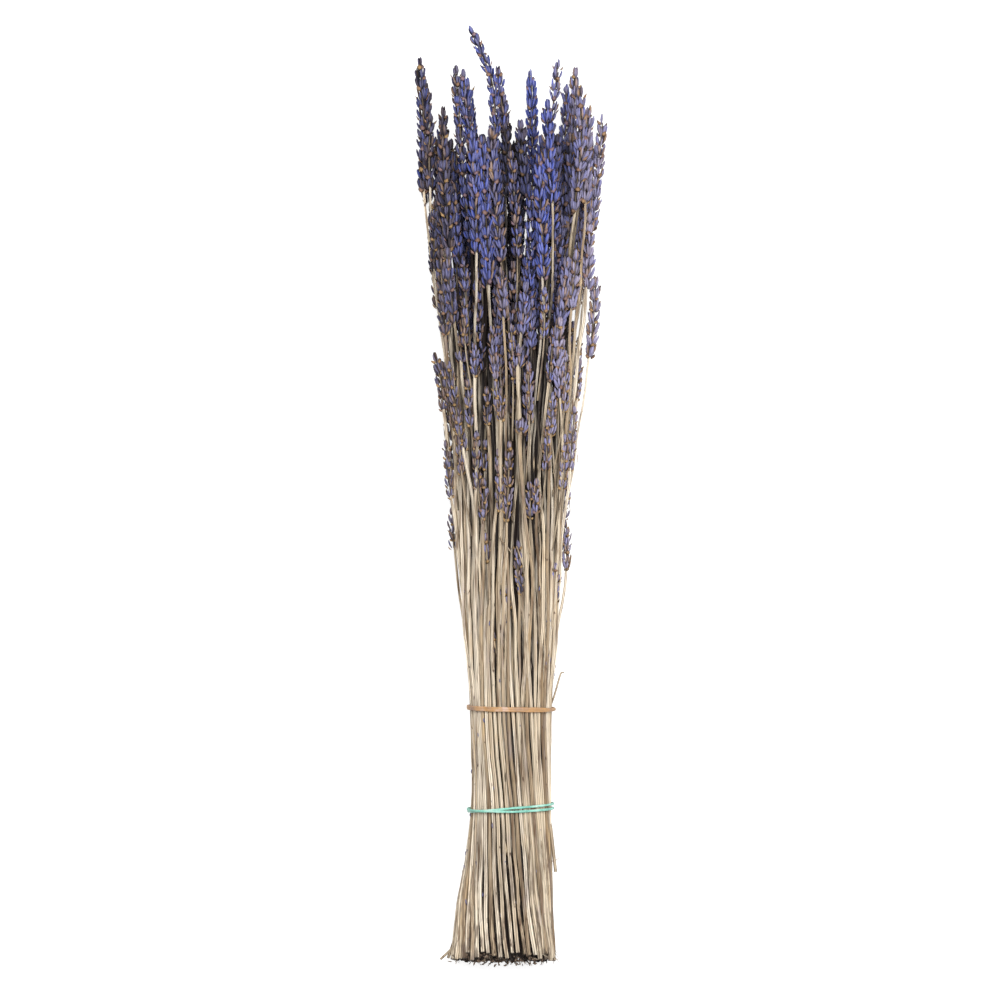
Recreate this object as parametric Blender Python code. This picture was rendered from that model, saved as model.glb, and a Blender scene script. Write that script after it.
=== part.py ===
"""A dried lavender bunch, lying on its side on a flat surface.

The cut ends point towards -Y and the flower spikes towards +Y. +Z is up, and the surface is z = 0.
Sizes below are millimetres. They become metres where a mesh is made.
Along the bunch, a place is given by its station: the distance from the cut ends.
"""

import math
import random

import bmesh
import bpy
import numpy as np
from mathutils import Vector

MM = 0.001
SEED = 11

# The bunch's outline at stations along it: half its width, its depth as a share of its width, how high it is
# held off the surface, and how far its middle leans sideways.
OUTLINE_STATION = (0, 25, 55, 86, 141, 175, 200, 255, 310, 340, 400, 450, 520)
OUTLINE_HALF_WIDTH = (29.5, 27.3, 24.6, 22.4, 22.8, 24.7, 27.0, 35.0, 41.0, 45.0, 49.0, 51.5, 52.0)
DEPTH_PER_WIDTH = (0.80, 0.82, 0.86, 0.90, 0.90, 0.88, 0.86, 0.80, 0.76, 0.74, 0.72, 0.72, 0.72)
HELD_OFF = (-1.6, -1.3, 1.0, 2.6, 2.6, 2.2, 1.8, 0.2, -1.2, -1.8, -2.0, -2.0, -2.0)
LEAN = (-4.5, -3.6, -1.8, 0.0, 0.0, 0.0, 0.0, 0.0, 0.0, 0.0, 0.0, 0.0, 0.0)

# Stems
STEM_SIDES = 3
STEM_REACH = 1.2
STEM_FLAT = STEM_REACH * math.cos(math.pi / STEM_SIDES)
OUTER_STEMS = 52
INNER_SHARES = (0.72, 0.45)
LYING_STATION = 25.0
LOWER_BAND_STATION = 86.0
UPPER_BAND_STATION = 141.0
FREE_FROM = 186.0
STEM_RUN = 48.0
RAGGED_END = 7.0
SEAT_GAP = 0.3
# A stem of a higher spike comes from further inside, and dips this share of the way to the middle.
INWARD_PER_MM = 0.0008
DIP = 0.08
# Stems that point down more steeply than this share have their flat face level, as they lie on the surface.
LYING_SINE = -0.93

# The packed middle of the tied stems, which the outer stems stand out of
CORE_STATIONS = (9.0, 86.0, 141.0, 170.0, 192.0)
CORE_SHARE = (0.86, 0.945, 0.945, 0.88, 0.35)
CORE_SIDES = 18
CORE_TURN = 0.37
ROOT_STATION = 158.0
STUB_ROOT_STATION = 20.0
STUB_RINGS = ((0.70, 13), (0.42, 7), (0.14, 2))
STUB_PLACES = (0.2, 0.8)
FIRST_CUT = 1.0

# Flower spikes
FRONT_CALYCES = 4
HIDDEN_CALYCES = 3
WHORL_PITCH = 11.5
CALYX_REACH = 1.08
RACHIS_RADIUS = 1.15
VALLEY_RADIUS_SHARE = 0.50
VALLEY_RADIUS_MORE = 0.3
VALLEY_HEIGHT_SHARE = 0.34
BUD_BELOW_TIP = 0.25
# A crown's radius as a share of the girth: where it starts, how fast it widens, and what it loses to the tip
CROWN_START = 0.82
CROWN_GROWTH = 0.7
CROWN_TAPER = 0.30
LAYER_STEP = 8.0
MOST_SPIKE_NODES = 57
MOST_SPIKES_PER_NODE = 3

# Spreading the stems until none crosses another. Lengths are mm, and the other values are shares or steps.
STATION_STEP = 6.0
LAST_STATION = 530.0
SPIKE_MARGIN = 6.0
CLEARANCE = 0.9
ROUNDS = 300
SETTLING_ROUNDS = 210
PUSH_STEP = 0.36
SIDEWAYS_SHARE = 0.45
PULL_BACK = 0.06
PRESSED = 1.8
STIFFNESS = 0.22
LATE_STIFFNESS = 0.05
# The room that a spike takes up, as a share of its girth, at its base, and what it loses to the tip
ROOM_AT_BASE = 1.04
ROOM_LOST = 0.35
# Spikes that share a node mesh: they are this share of their girths apart, and a little more at the ends.
MESHED_SPACING = 0.63
MESH_EASING = 0.14
MESH_RUN_IN = 12.0
LEAST_MESHED_STATIONS = 5

# Elastic bands, each one loop wound twice
BAND_POINTS_PER_TURN = 26
CHORD_ALLOWANCE = 0.2
# At a crossing one turn rides this much clear of the other, and the turns change sides this steeply.
RIDE_GAP = 0.4
RIDE_SPREAD = 0.4
SWAP_STEEPNESS = 2.6
TAN_BAND = {
    "station": UPPER_BAND_STATION,
    "thickness": 1.25,
    "spacing": (1.65, 1.65),
    "tilt": -0.5,
    "crossing": math.radians(9),
}
GREEN_BAND = {
    "station": LOWER_BAND_STATION,
    "thickness": 1.0,
    "spacing": (1.4, 2.5),
    "tilt": 1.2,
    "crossing": math.radians(132),
}

# The spikes that show from above: (tip across, tip station, base across, base station, layer, girth radius).
# Layer 0 lies on top of the bunch, and each further layer lies one LAYER_STEP below.
FRONT_SPIKES = (
    (-50, 499, -50, 425, 0, 4.2),
    (-43, 469, -45, 426, 1, 3.8),
    (-38, 461, -40, 392, 0, 4.2),
    (-34, 453, -35, 399, 2, 4.0),
    (-34, 493, -26, 443, 1, 3.8),
    (-29, 491, -20, 448, 0, 4.0),
    (-27, 458, -23, 390, 0, 4.6),
    (-19, 455, -13, 374, 0, 4.8),
    (-25, 515, -8, 454, 1, 3.8),
    (-6, 459, 1, 386, 0, 5.2),
    (-2, 493, -2, 460, 2, 3.8),
    (2, 464, 10, 421, 2, 4.2),
    (9, 445, 19, 376, 0, 4.8),
    (32, 497, 16, 440, 2, 3.6),
    (15, 475, 23, 443, 1, 4.2),
    (20, 453, 28, 417, 0, 4.8),
    (37, 482, 36, 413, 0, 4.4),
    (41, 466, 38, 421, 2, 3.6),
    (46, 472, 43, 418, 0, 4.4),
    (53, 468, 47, 404, 1, 3.8),
    (46, 414, 42, 371, 0, 4.2),
    (-45, 421, -44, 381, 1, 3.4),
    (-34, 394, -32, 352, 0, 4.0),
    (-41, 393, -38, 346, 0, 3.8),
    (-28, 389, -26, 370, 1, 3.4),
    (-7, 383, -4, 354, 0, 4.0),
    (12, 396, 9, 371, 1, 3.8),
    (14, 375, 4, 346, 0, 3.8),
    (6, 341, 4, 328, 0, 4.0),
    (10, 366, 10, 338, 1, 3.4),
    (29, 389, 25, 349, 0, 4.4),
    (40, 393, 37, 360, 0, 4.0),
    (47, 379, 45, 334, 0, 4.0),
    (35, 356, 32, 311, 0, 3.8),
    (41, 346, 37, 311, 1, 3.2),
    (-43, 337, -40, 305, 0, 3.6),
    (-37, 332, -35, 294, 0, 2.8),
    (-35, 289, -32, 257, 0, 2.6),
    (-34, 252, -31, 229, 0, 3.0),
    (-31, 346, -29, 331, 0, 3.6),
    (-32, 332, -20, 283, 0, 3.2),
    (-15, 318, -11, 297, 0, 2.8),
    (-14, 289, -12, 272, 0, 2.8),
    (-4, 317, -5, 299, 0, 3.0),
    (8, 332, 9, 306, 0, 3.8),
    (-2, 288, -3, 244, 0, 3.2),
    (-14, 268, -13, 245, 0, 3.0),
    (13, 268, 14, 249, 0, 2.6),
    (25, 315, 21, 291, 0, 3.2),
    (36, 308, 32, 272, 0, 2.6),
    (32, 241, 29, 217, 0, 2.8),
    (5, 234, 4, 204, 0, 2.8),
    (-4, 213, -2, 196, 0, 2.6),
    (-20, 342, -20, 323, 0, 3.2),
    (-13, 351, -7, 324, 0, 3.4),
    (15, 350, 15, 320, 0, 3.0),
    (25, 344, 23, 315, 1, 3.0),
    (6, 301, 4, 292, 0, 4.0),
)

# The tallest spike hooks over: its middle lies this far to the right, and its tip this far to the left.
TALLEST_BOW = 4.4
TALLEST_HOOK = 8.0
# No spike's middle line lies further out or deeper than these shares of the outline.
FURTHEST_ACROSS = 0.98
DEEPEST_SHARE = 0.3

# The spikes below those. A tier is (station of the tip, spike length, girth radius).
TIER_JITTER = 9.0
UNDERSIDE_COUNT = 22
UNDERSIDE_ARC = (math.radians(186), math.radians(354))
UNDERSIDE_JITTER = 0.2
UNDERSIDE_TIP_SHARES = (0.94, 1.0)
UNDERSIDE_TIERS = (
    (486, 66, 4.2),
    (420, 58, 4.0),
    (462, 70, 4.3),
    (350, 44, 3.4),
    (440, 62, 4.0),
    (285, 30, 2.8),
)
# Rows through the middle, as (count, height as a share of half the depth, tiers).
MIDDLE_ROWS = (
    (8, 0.25, ((462, 60, 4.0), (430, 58, 3.8))),
    (8, -0.2, ((478, 62, 4.0), (446, 60, 4.0), (400, 52, 3.8))),
)
MIDDLE_SPAN = 0.85
MIDDLE_JITTER = 0.15

# Snapped stems that stand out of the bunch, as points (x, station, z) from the root outwards
BROKEN_BITS = {
    "bit_above_tan_band": ((20.5, 145, 23), (23.8, 150, 24), (27.6, 161, 25.5), (29.6, 162.5, 26)),
    "bit_below_green_band": ((19.5, 80, 25), (22.6, 72, 26), (24.8, 54, 27)),
    "twig_at_cut_end": ((-26, 17, 15), (-32, 8, 11), (-39, 1.5, 9)),
}
BROKEN_BIT_OUTWARD = Vector((1, 0, 0.4))


def outline(station):
    """Half width, half depth, the height of the middle line and its lean, at a station."""
    half_width = np.interp(station, OUTLINE_STATION, OUTLINE_HALF_WIDTH)
    half_depth = half_width * np.interp(station, OUTLINE_STATION, DEPTH_PER_WIDTH)
    middle = half_depth + np.interp(station, OUTLINE_STATION, HELD_OFF)
    return half_width, half_depth, middle, np.interp(station, OUTLINE_STATION, LEAN)


def on_outline(station, angle, share, inset=0.0):
    """The point across the bunch (x, z) at an angle round it and a share of the way out."""
    half_width, half_depth, middle, lean = outline(station)
    return (
        lean + share * (half_width - inset) * math.cos(angle),
        middle + share * (half_depth - inset) * math.sin(angle),
    )


def new_spike(base, tip, base_station, tip_station, girth, calyces):
    return {
        "base": base,
        "tip": tip,
        "middle": ((base[0] + tip[0]) / 2, (base[1] + tip[1]) / 2),
        "base_station": base_station,
        "tip_station": tip_station,
        "girth": girth,
        "calyces": calyces,
    }


def front_spikes():
    """The spikes that show from above, each laid on the top of the bunch or some layers below it."""
    spikes = []
    for tip_x, tip_station, base_x, base_station, layer, girth in FRONT_SPIKES:
        ends = []
        for x, station in ((base_x, base_station), (tip_x, tip_station)):
            half_width, half_depth, middle, lean = outline(station)
            across = min(abs(x - lean) / half_width, FURTHEST_ACROSS)
            height = half_depth * math.sqrt(1 - across * across) - girth - layer * LAYER_STEP
            ends.append((x, middle + max(height, -DEEPEST_SHARE * half_depth)))
        spikes.append(new_spike(*ends, base_station, tip_station, girth, FRONT_CALYCES))
    tallest = max(spikes, key=lambda spike: spike["tip_station"])
    tallest["middle"] = (tallest["middle"][0] + TALLEST_BOW, tallest["middle"][1])
    return spikes


def hidden_spikes(draw):
    """The spikes of the underside, evenly round the lower half, and those in rows through the middle."""
    spikes = []
    for place in range(UNDERSIDE_COUNT):
        tip_station, length, girth = UNDERSIDE_TIERS[place % len(UNDERSIDE_TIERS)]
        tip_station += draw.uniform(-TIER_JITTER, TIER_JITTER)
        turn = (place + 0.5 + draw.uniform(-UNDERSIDE_JITTER, UNDERSIDE_JITTER)) / UNDERSIDE_COUNT
        angle = UNDERSIDE_ARC[0] + turn * (UNDERSIDE_ARC[1] - UNDERSIDE_ARC[0])
        base = on_outline(tip_station - length, angle, 1.0, girth)
        tip = on_outline(tip_station, angle, draw.uniform(*UNDERSIDE_TIP_SHARES), girth)
        spikes.append(new_spike(base, tip, tip_station - length, tip_station, girth, HIDDEN_CALYCES))
    for count, height_share, tiers in MIDDLE_ROWS:
        for place in range(count):
            tip_station, length, girth = tiers[place % len(tiers)]
            tip_station += draw.uniform(-TIER_JITTER, TIER_JITTER)
            ends = []
            for station in (tip_station - length, tip_station):
                half_width, half_depth, middle, lean = outline(station)
                in_row = (place + 0.5 + draw.uniform(-MIDDLE_JITTER, MIDDLE_JITTER)) / count
                across = (2 * in_row - 1) * MIDDLE_SPAN
                ends.append((lean + across * half_width, middle + height_share * half_depth))
            spikes.append(new_spike(*ends, tip_station - length, tip_station, girth, HIDDEN_CALYCES))
    return spikes


def give_slots(spikes, draw):
    """Gives each stem its place in the tied part: the outermost go round it in order, the others inside."""
    for spike in spikes:
        half_width, half_depth, middle, lean = outline(spike["base_station"])
        across = (spike["base"][0] - lean) / half_width
        up = (spike["base"][1] - middle) / half_depth
        spike["angle"] = math.atan2(up, across) % (2 * math.pi)
        spike["reach"] = math.hypot(across, up) - INWARD_PER_MM * spike["base_station"]
    by_reach = sorted(spikes, key=lambda spike: -spike["reach"])
    outer, inner = by_reach[:OUTER_STEMS], by_reach[OUTER_STEMS:]
    for ring, share in ((outer, 1.0), (inner[::2], INNER_SHARES[0]), (inner[1::2], INNER_SHARES[1])):
        ring.sort(key=lambda spike: spike["angle"])
        step = 2 * math.pi / len(ring)
        start = sum(spike["angle"] - step * place for place, spike in enumerate(ring)) / len(ring)
        for place, spike in enumerate(ring):
            spike["slot"] = start + step * place
            spike["share"] = share
            spike["start"] = draw.uniform(0, RAGGED_END) if share == 1.0 else ROOT_STATION


def first_line(spike):
    """A stem's centre line through its slot to its spike's tip: its bends' stations, and (x, z) at each."""
    knots = [spike["start"]]
    if spike["share"] == 1.0:
        knots += [LYING_STATION, LOWER_BAND_STATION, UPPER_BAND_STATION]
    tied = len(knots) + 1
    base = spike["base_station"]
    runs = max(1, math.ceil((base - FREE_FROM) / STEM_RUN))
    knots += [FREE_FROM + (base - FREE_FROM) * k / runs for k in range(runs + 1)]
    knots += [(base + spike["tip_station"]) / 2, spike["tip_station"]]
    points = [on_outline(s, spike["slot"], spike["share"], STEM_FLAT) for s in knots[:tied]]
    start = points[-1]
    for k in range(1, runs):
        middle, lean = outline(knots[tied - 1 + k])[2:]
        inward = DIP * math.sin(math.pi * k / runs)
        x, z = (a + (b - a) * k / runs for a, b in zip(start, spike["base"]))
        points.append((x + inward * (lean - x), z + inward * (middle - z)))
    points += [spike["base"], spike["middle"], spike["tip"]]
    return np.array(knots), np.array(points)


def radius_along(spike, stations, margin=0.0):
    """The radius that a stem or its spike takes up at every station. A margin makes the spike longer."""
    base, tip = spike["base_station"], spike["tip_station"]
    in_spike = (stations > base - margin) & (stations < tip + margin)
    taken = ROOM_AT_BASE - ROOM_LOST * np.clip((stations - base) / (tip - base), 0, 1)
    return np.where(in_spike, spike["girth"] * taken, STEM_REACH)


def shared_depth(first, second, stations):
    """How far inside the stretch where both are flower spikes each station is. It is negative outside."""
    low = max(first["base_station"], second["base_station"])
    high = min(first["tip_station"], second["tip_station"])
    return np.minimum(stations - low, high - stations)


def choose_links(spikes, paths, stations):
    """Past the limit on nodes, spikes that lie closest side by side mesh and share a node."""
    found = []
    for i, first in enumerate(spikes):
        for j in range(i + 1, len(spikes)):
            shared = shared_depth(first, spikes[j], stations) >= 0
            if shared.sum() >= LEAST_MESHED_STATIONS:
                apart = np.linalg.norm(paths[i][shared] - paths[j][shared], axis=1).mean()
                found.append((apart, i, j))
    group = list(range(len(spikes)))
    links = []
    for _, i, j in sorted(found):
        if len(set(group)) <= MOST_SPIKE_NODES:
            break
        size = group.count(group[i]) + group.count(group[j])
        if group[i] != group[j] and size <= MOST_SPIKES_PER_NODE:
            links.append((i, j))
            group = [group[i] if g == group[j] else g for g in group]
    return links, group


def spacing_rules(spikes, paths, stations):
    """How far apart each two spikes or stems have to be at every station, where they mesh, and the nodes."""
    bare = np.array([radius_along(spike, stations) for spike in spikes])
    radii = np.array([radius_along(spike, stations, SPIKE_MARGIN) for spike in spikes])
    need = radii[:, None] + radii[None] + CLEARANCE
    meshed = np.zeros(need.shape, dtype=bool)
    links, group = choose_links(spikes, paths, stations)
    for i, j in links:
        depth = shared_depth(spikes[i], spikes[j], stations)
        spacing = MESHED_SPACING + MESH_EASING * np.clip(1 - depth / MESH_RUN_IN, 0, 1)
        both = bare[i] + bare[j]
        need[i, j] = need[j, i] = np.where(depth >= 0, both * spacing, both + CLEARANCE)
        meshed[i, j] = meshed[j, i] = depth >= 0
    return radii, need, meshed, group


def spread(spikes):
    """Bends the stems clear of each other. Linked spikes are drawn together, until their calyces mesh."""
    stations = np.arange(FREE_FROM - 4 * STATION_STEP, LAST_STATION, STATION_STEP)
    knots, points = zip(*(first_line(spike) for spike in spikes))
    points = list(points)
    hats = [np.array([np.interp(stations, k, row) for row in np.eye(len(k))]).T for k in knots]
    paths = np.array([hat @ p for hat, p in zip(hats, points)])
    wanted = paths.copy()
    radii, need, meshed, group = spacing_rules(spikes, paths, stations)
    there = np.array([stations <= spike["tip_station"] + STATION_STEP for spike in spikes])
    acts = there[:, None] & there[None] & ~np.eye(len(spikes), dtype=bool)[..., None]
    fits = [np.linalg.pinv(hat * on[:, None]) * on for hat, on in zip(hats, there)]
    loose = [(k > UPPER_BAND_STATION + 1).astype(float)[:, None] for k in knots]
    for round_number in range(ROUNDS):
        settling = round_number < SETTLING_ROUNDS
        apart = paths[:, None] - paths[None]
        distance = np.linalg.norm(apart, axis=-1) + 1e-6
        short = np.where(meshed, need - distance, np.clip(need - distance, 0, None)) * acts
        push = (apart / distance[..., None] * short[..., None]).sum(axis=1)
        push[..., 0] *= SIDEWAYS_SHARE
        if settling:
            push[..., 0] += PULL_BACK * (wanted - paths)[..., 0]
        bend = np.zeros_like(paths)
        bend[:, 1:-1] = paths[:, 2:] + paths[:, :-2] - 2 * paths[:, 1:-1]
        moved = paths + PUSH_STEP * push + (STIFFNESS if settling else LATE_STIFFNESS) * bend
        moved[..., 1] = np.maximum(moved[..., 1], radii - PRESSED)
        for i, hat in enumerate(hats):
            points[i] = points[i] + loose[i] * (fits[i] @ moved[i] - points[i])
            paths[i] = hat @ points[i]
    tallest = max(range(len(spikes)), key=lambda i: spikes[i]["tip_station"])
    points[tallest][-1, 0] -= TALLEST_HOOK
    return list(zip(knots, points)), group


def line_points(line, at):
    """The points (x, station, z) of a centre line at the asked stations."""
    knots, points = line
    return [Vector((np.interp(s, knots, points[:, 0]), s, np.interp(s, knots, points[:, 1]))) for s in at]


def new_object(name, mesh_data, material=None):
    mesh = bpy.data.meshes.new(name)
    mesh_data.to_mesh(mesh)
    mesh_data.free()
    made = bpy.data.objects.new(name, mesh)
    bpy.context.scene.collection.objects.link(made)
    if material:
        mesh.materials.append(material)
    return made


def loft(name, rings, material=None, loop=False):
    """A closed body through rings with the same number of points, its ends closed by a face each."""
    data = bmesh.new()
    made = [[data.verts.new((p[0] * MM, p[1] * MM, max(p[2], 0.0) * MM)) for p in ring] for ring in rings]
    pairs = list(zip(made, made[1:] + made[:1])) if loop else list(zip(made, made[1:]))
    for low, high in pairs:
        for k in range(len(low)):
            after = (k + 1) % len(low)
            data.faces.new((low[k], low[after], high[after], high[k]))
    if not loop:
        data.faces.new(reversed(made[0]))
        data.faces.new(made[-1])
    bmesh.ops.recalc_face_normals(data, faces=data.faces)
    return new_object(name, data, material)


def tangents(line):
    """The direction of a line of points, at each point."""
    return [(line[min(i + 1, len(line) - 1)] - line[max(i - 1, 0)]).normalized() for i in range(len(line))]


def stem(name, line, outward):
    """A stem with few sides and one flat turned outward. Its ends are cut square across the bunch."""
    rings = []
    ways = tangents(line)
    for end in (0, -1):
        ways[end] = Vector((0, math.copysign(1, ways[end].y), 0))
    for point, along in zip(line, ways):
        out = (outward - along * outward.dot(along)).normalized()
        side = along.cross(out)
        turns = [2 * math.pi * (corner + 0.5) / STEM_SIDES for corner in range(STEM_SIDES)]
        spokes = [out * math.cos(turn) + side * math.sin(turn) for turn in turns]
        rings.append([point + STEM_REACH * spoke for spoke in spokes])
    return loft(name, rings)


def slot_outward(angle):
    """Straight out of the bunch at an angle, or straight down for the stems that lie on the surface."""
    if math.sin(angle) < LYING_SINE:
        return Vector((0, 0, -1))
    return Vector((math.cos(angle), 0, math.sin(angle)))


def stem_bundle(spikes, lines, draw, material):
    """All the stems, fused with the packed middle of the tied part and the broken bits that stick out."""
    rings = []
    for station, share in zip(CORE_STATIONS, CORE_SHARE):
        turns = [2 * math.pi * (k + CORE_TURN) / CORE_SIDES for k in range(CORE_SIDES)]
        rings.append([(x, station, z) for x, z in (on_outline(station, turn, share) for turn in turns)])
    parts = [loft("core", rings)]
    for number, (spike, line) in enumerate(zip(spikes, lines)):
        knots = list(line[0][:-3]) + [spike["base_station"] - SEAT_GAP]
        parts.append(stem(f"stem_{number}", line_points(line, knots), slot_outward(spike["slot"])))
    for share, count in STUB_RINGS:
        for place in range(count):
            angle = 2 * math.pi * (place + draw.uniform(*STUB_PLACES)) / count
            points = []
            for station in (draw.uniform(FIRST_CUT, FIRST_CUT + RAGGED_END), STUB_ROOT_STATION):
                x, z = on_outline(station, angle, share, STEM_FLAT)
                points.append(Vector((x, station, z)))
            parts.append(stem(f"stub_{share}_{place}", points, slot_outward(angle)))
    for name, points in BROKEN_BITS.items():
        parts.append(stem(name, [Vector(point) for point in points], BROKEN_BIT_OUTWARD))
    bunch = fuse("stems", parts)
    bunch.data.materials.append(material)


def fuse(name, parts):
    """One body from many: the first part, with a Boolean union of the rest."""
    first, rest = parts[0], parts[1:]
    together = bpy.data.collections.new("to_join")
    for part in rest:
        bpy.context.scene.collection.objects.unlink(part)
        together.objects.link(part)
    bpy.context.scene.collection.children.link(together)
    join = first.modifiers.new("join", "BOOLEAN")
    join.operation = "UNION"
    join.operand_type = "COLLECTION"
    join.collection = together
    join.solver = "EXACT"
    graph = bpy.context.evaluated_depsgraph_get()
    mesh = bpy.data.meshes.new_from_object(first.evaluated_get(graph))
    first.modifiers.clear()
    first.data = mesh
    first.name = name
    mesh.name = name
    for part in list(together.objects):
        bpy.data.objects.remove(part)
    bpy.data.collections.remove(together)
    return first


def crown_width(share):
    """A crown's radius as a share of the girth: widest low on the spike, and narrower at the tip."""
    return min(1.0, CROWN_START + CROWN_GROWTH * share) * (1 - CROWN_TAPER * share * share)


def spike_body(name, spike, centre_line, phase, material):
    """A flower spike: crowns of calyces up a thin rachis, each turned half a step from the one below."""
    base, tip = spike["base_station"], spike["tip_station"]
    count = max(2, round((tip - base) / WHORL_PITCH))
    line = line_points(centre_line, [base + (tip - base) * k / count for k in range(count + 1)])
    ways = tangents(line)
    data = bmesh.new()
    sides = spike["calyces"]
    half_turn = math.pi / sides

    def ring(point, way, radius, lift, turn):
        out = (Vector((0, 0, 1)) - way * way.z).normalized()
        side = way.cross(out)
        made = []
        for k in range(sides):
            angle = turn + 2 * half_turn * k
            place = point + way * lift + (out * math.cos(angle) + side * math.sin(angle)) * radius
            made.append(data.verts.new((place.x * MM, place.y * MM, max(place.z, 0.0) * MM)))
        return made

    rachis = ring(line[0], Vector((0, 1, 0)), RACHIS_RADIUS, 0, phase)
    data.faces.new(reversed(rachis))
    for level in range(count):
        pitch = (line[level + 1] - line[level]).length
        share = (level + 0.5) / count
        radius = spike["girth"] * crown_width(share)
        turn = phase + half_turn * level
        here, way = line[level], ways[level]
        tips = ring(here, way, radius, pitch * CALYX_REACH, turn + half_turn)
        valley_radius = radius * VALLEY_RADIUS_SHARE + VALLEY_RADIUS_MORE
        valleys = ring(here, way, valley_radius, pitch * VALLEY_HEIGHT_SHARE, turn)
        last = level == count - 1
        if last:
            apex = line[-1] - ways[-1] * BUD_BELOW_TIP * pitch
            bud = data.verts.new((apex.x * MM, apex.y * MM, max(apex.z, 0.0) * MM))
            above = [bud] * sides
        else:
            above = ring(line[level + 1], ways[level + 1], RACHIS_RADIUS, 0, turn + half_turn)
        for k in range(sides):
            after = (k + 1) % sides
            data.faces.new((rachis[k], rachis[after], tips[k]))
            data.faces.new((rachis[k], tips[k], valleys[k]))
            data.faces.new((rachis[after], valleys[after], tips[k]))
            data.faces.new((valleys[k], tips[k], above[k]))
            data.faces.new((tips[k], valleys[after], above[k]))
            if not last:
                data.faces.new((valleys[after], above[after], above[k]))
        rachis = above
    bmesh.ops.recalc_face_normals(data, faces=data.faces)
    return new_object(name, data, material)


def flower_spikes(spikes, lines, group, draw, material):
    """One node for each spike, or for each group of spikes that mesh."""
    members = {}
    for i, spike in enumerate(spikes):
        body = spike_body(f"spike_{i}", spike, lines[i], draw.uniform(0, math.pi / 2), material)
        members.setdefault(group[i], []).append(body)
    for number, bodies in enumerate(members.values(), start=1):
        name = f"flower_spike_{number:02d}"
        if len(bodies) > 1:
            fuse(name, bodies)
        else:
            bodies[0].name = name
            bodies[0].data.name = name


def elastic_band(name, band, material):
    """An elastic band wound twice. At its crossing the turns change places, one riding over the other."""
    line = []
    for k in range(2 * BAND_POINTS_PER_TURN):
        turn = 2 * math.pi * k / BAND_POINTS_PER_TURN
        from_crossing = (turn - band["crossing"]) / 2
        swap = math.sin(from_crossing)
        rides_over = math.cos(from_crossing) > 0
        lift = (band["thickness"] + RIDE_GAP) * math.exp(-((swap / RIDE_SPREAD) ** 2)) if rides_over else 0.0
        left, right = band["spacing"]
        rightness = 0.5 + 0.5 * math.cos(turn)
        aside = 0.5 * (left + (right - left) * rightness) * max(-1.0, min(1.0, SWAP_STEEPNESS * swap))
        place = band["station"] + band["tilt"] * math.cos(turn) + aside
        clear = SEAT_GAP + CHORD_ALLOWANCE + 0.5 * band["thickness"] + lift
        x, z = on_outline(place, turn, 1.0, -clear)
        line.append(Vector((x, place, z)))
    middle = outline(band["station"])[2]
    rings = []
    for k, point in enumerate(line):
        along = (line[(k + 1) % len(line)] - line[k - 1]).normalized()
        out = Vector((point.x, 0, point.z - middle))
        out = (out - along * out.dot(along)).normalized()
        side = along.cross(out)
        corners = ((1, 1), (1, -1), (-1, -1), (-1, 1))
        rings.append([point + 0.5 * band["thickness"] * (out * a + side * b) for a, b in corners])
    loft(name, rings, material, loop=True)


def finish(name, colour, roughness):
    material = bpy.data.materials.new(name)
    material.use_nodes = True
    shader = material.node_tree.nodes["Principled BSDF"]
    shader.inputs["Base Color"].default_value = (*colour, 1)
    shader.inputs["Roughness"].default_value = roughness
    shader.inputs["Metallic"].default_value = 0.0
    return material


def put_origin_below_middle():
    """Moves every body so that the origin is on the surface, under the middle of the bunch."""
    bodies = [o for o in bpy.context.scene.objects if o.type == "MESH"]
    corners = np.array([v.co for o in bodies for v in o.data.vertices])
    low, high = corners.min(axis=0), corners.max(axis=0)
    shift = Vector((-(low[0] + high[0]) / 2, -(low[1] + high[1]) / 2, -low[2]))
    for body in bodies:
        for vertex in body.data.vertices:
            vertex.co += shift
    print("origin shift in mm", [round(v / MM, 3) for v in shift])
    print("size in mm", [round(v / MM, 1) for v in high - low])


def main():
    for startup in list(bpy.data.objects):
        bpy.data.objects.remove(startup)
    draw = random.Random(SEED)
    spikes = front_spikes() + hidden_spikes(draw)
    give_slots(spikes, draw)
    lines, group = spread(spikes)
    straw = finish("straw", (0.60, 0.50, 0.34), 0.8)
    lavender = finish("lavender", (0.19, 0.20, 0.46), 0.85)
    tan_rubber = finish("tan_rubber", (0.62, 0.38, 0.18), 0.5)
    green_rubber = finish("green_rubber", (0.30, 0.72, 0.55), 0.5)
    stem_bundle(spikes, lines, draw, straw)
    flower_spikes(spikes, lines, group, draw, lavender)
    elastic_band("tan_band", TAN_BAND, tan_rubber)
    elastic_band("green_band", GREEN_BAND, green_rubber)
    put_origin_below_middle()


main()
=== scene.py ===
# %% [markdown]
# # A dried lavender bunch
#
# The real thing is well over a hundred flower stems, cut, gathered in the hand and held by two elastic
# bands. It lies on its side here, and the camera looks straight down on it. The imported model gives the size
# and the place of everything. This lesson grows the fine surface over it: every flower head gets its whorls
# of small ribbed calyces, every stem its square ribbed section, and the bands their rubber.

import math
import random

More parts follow.
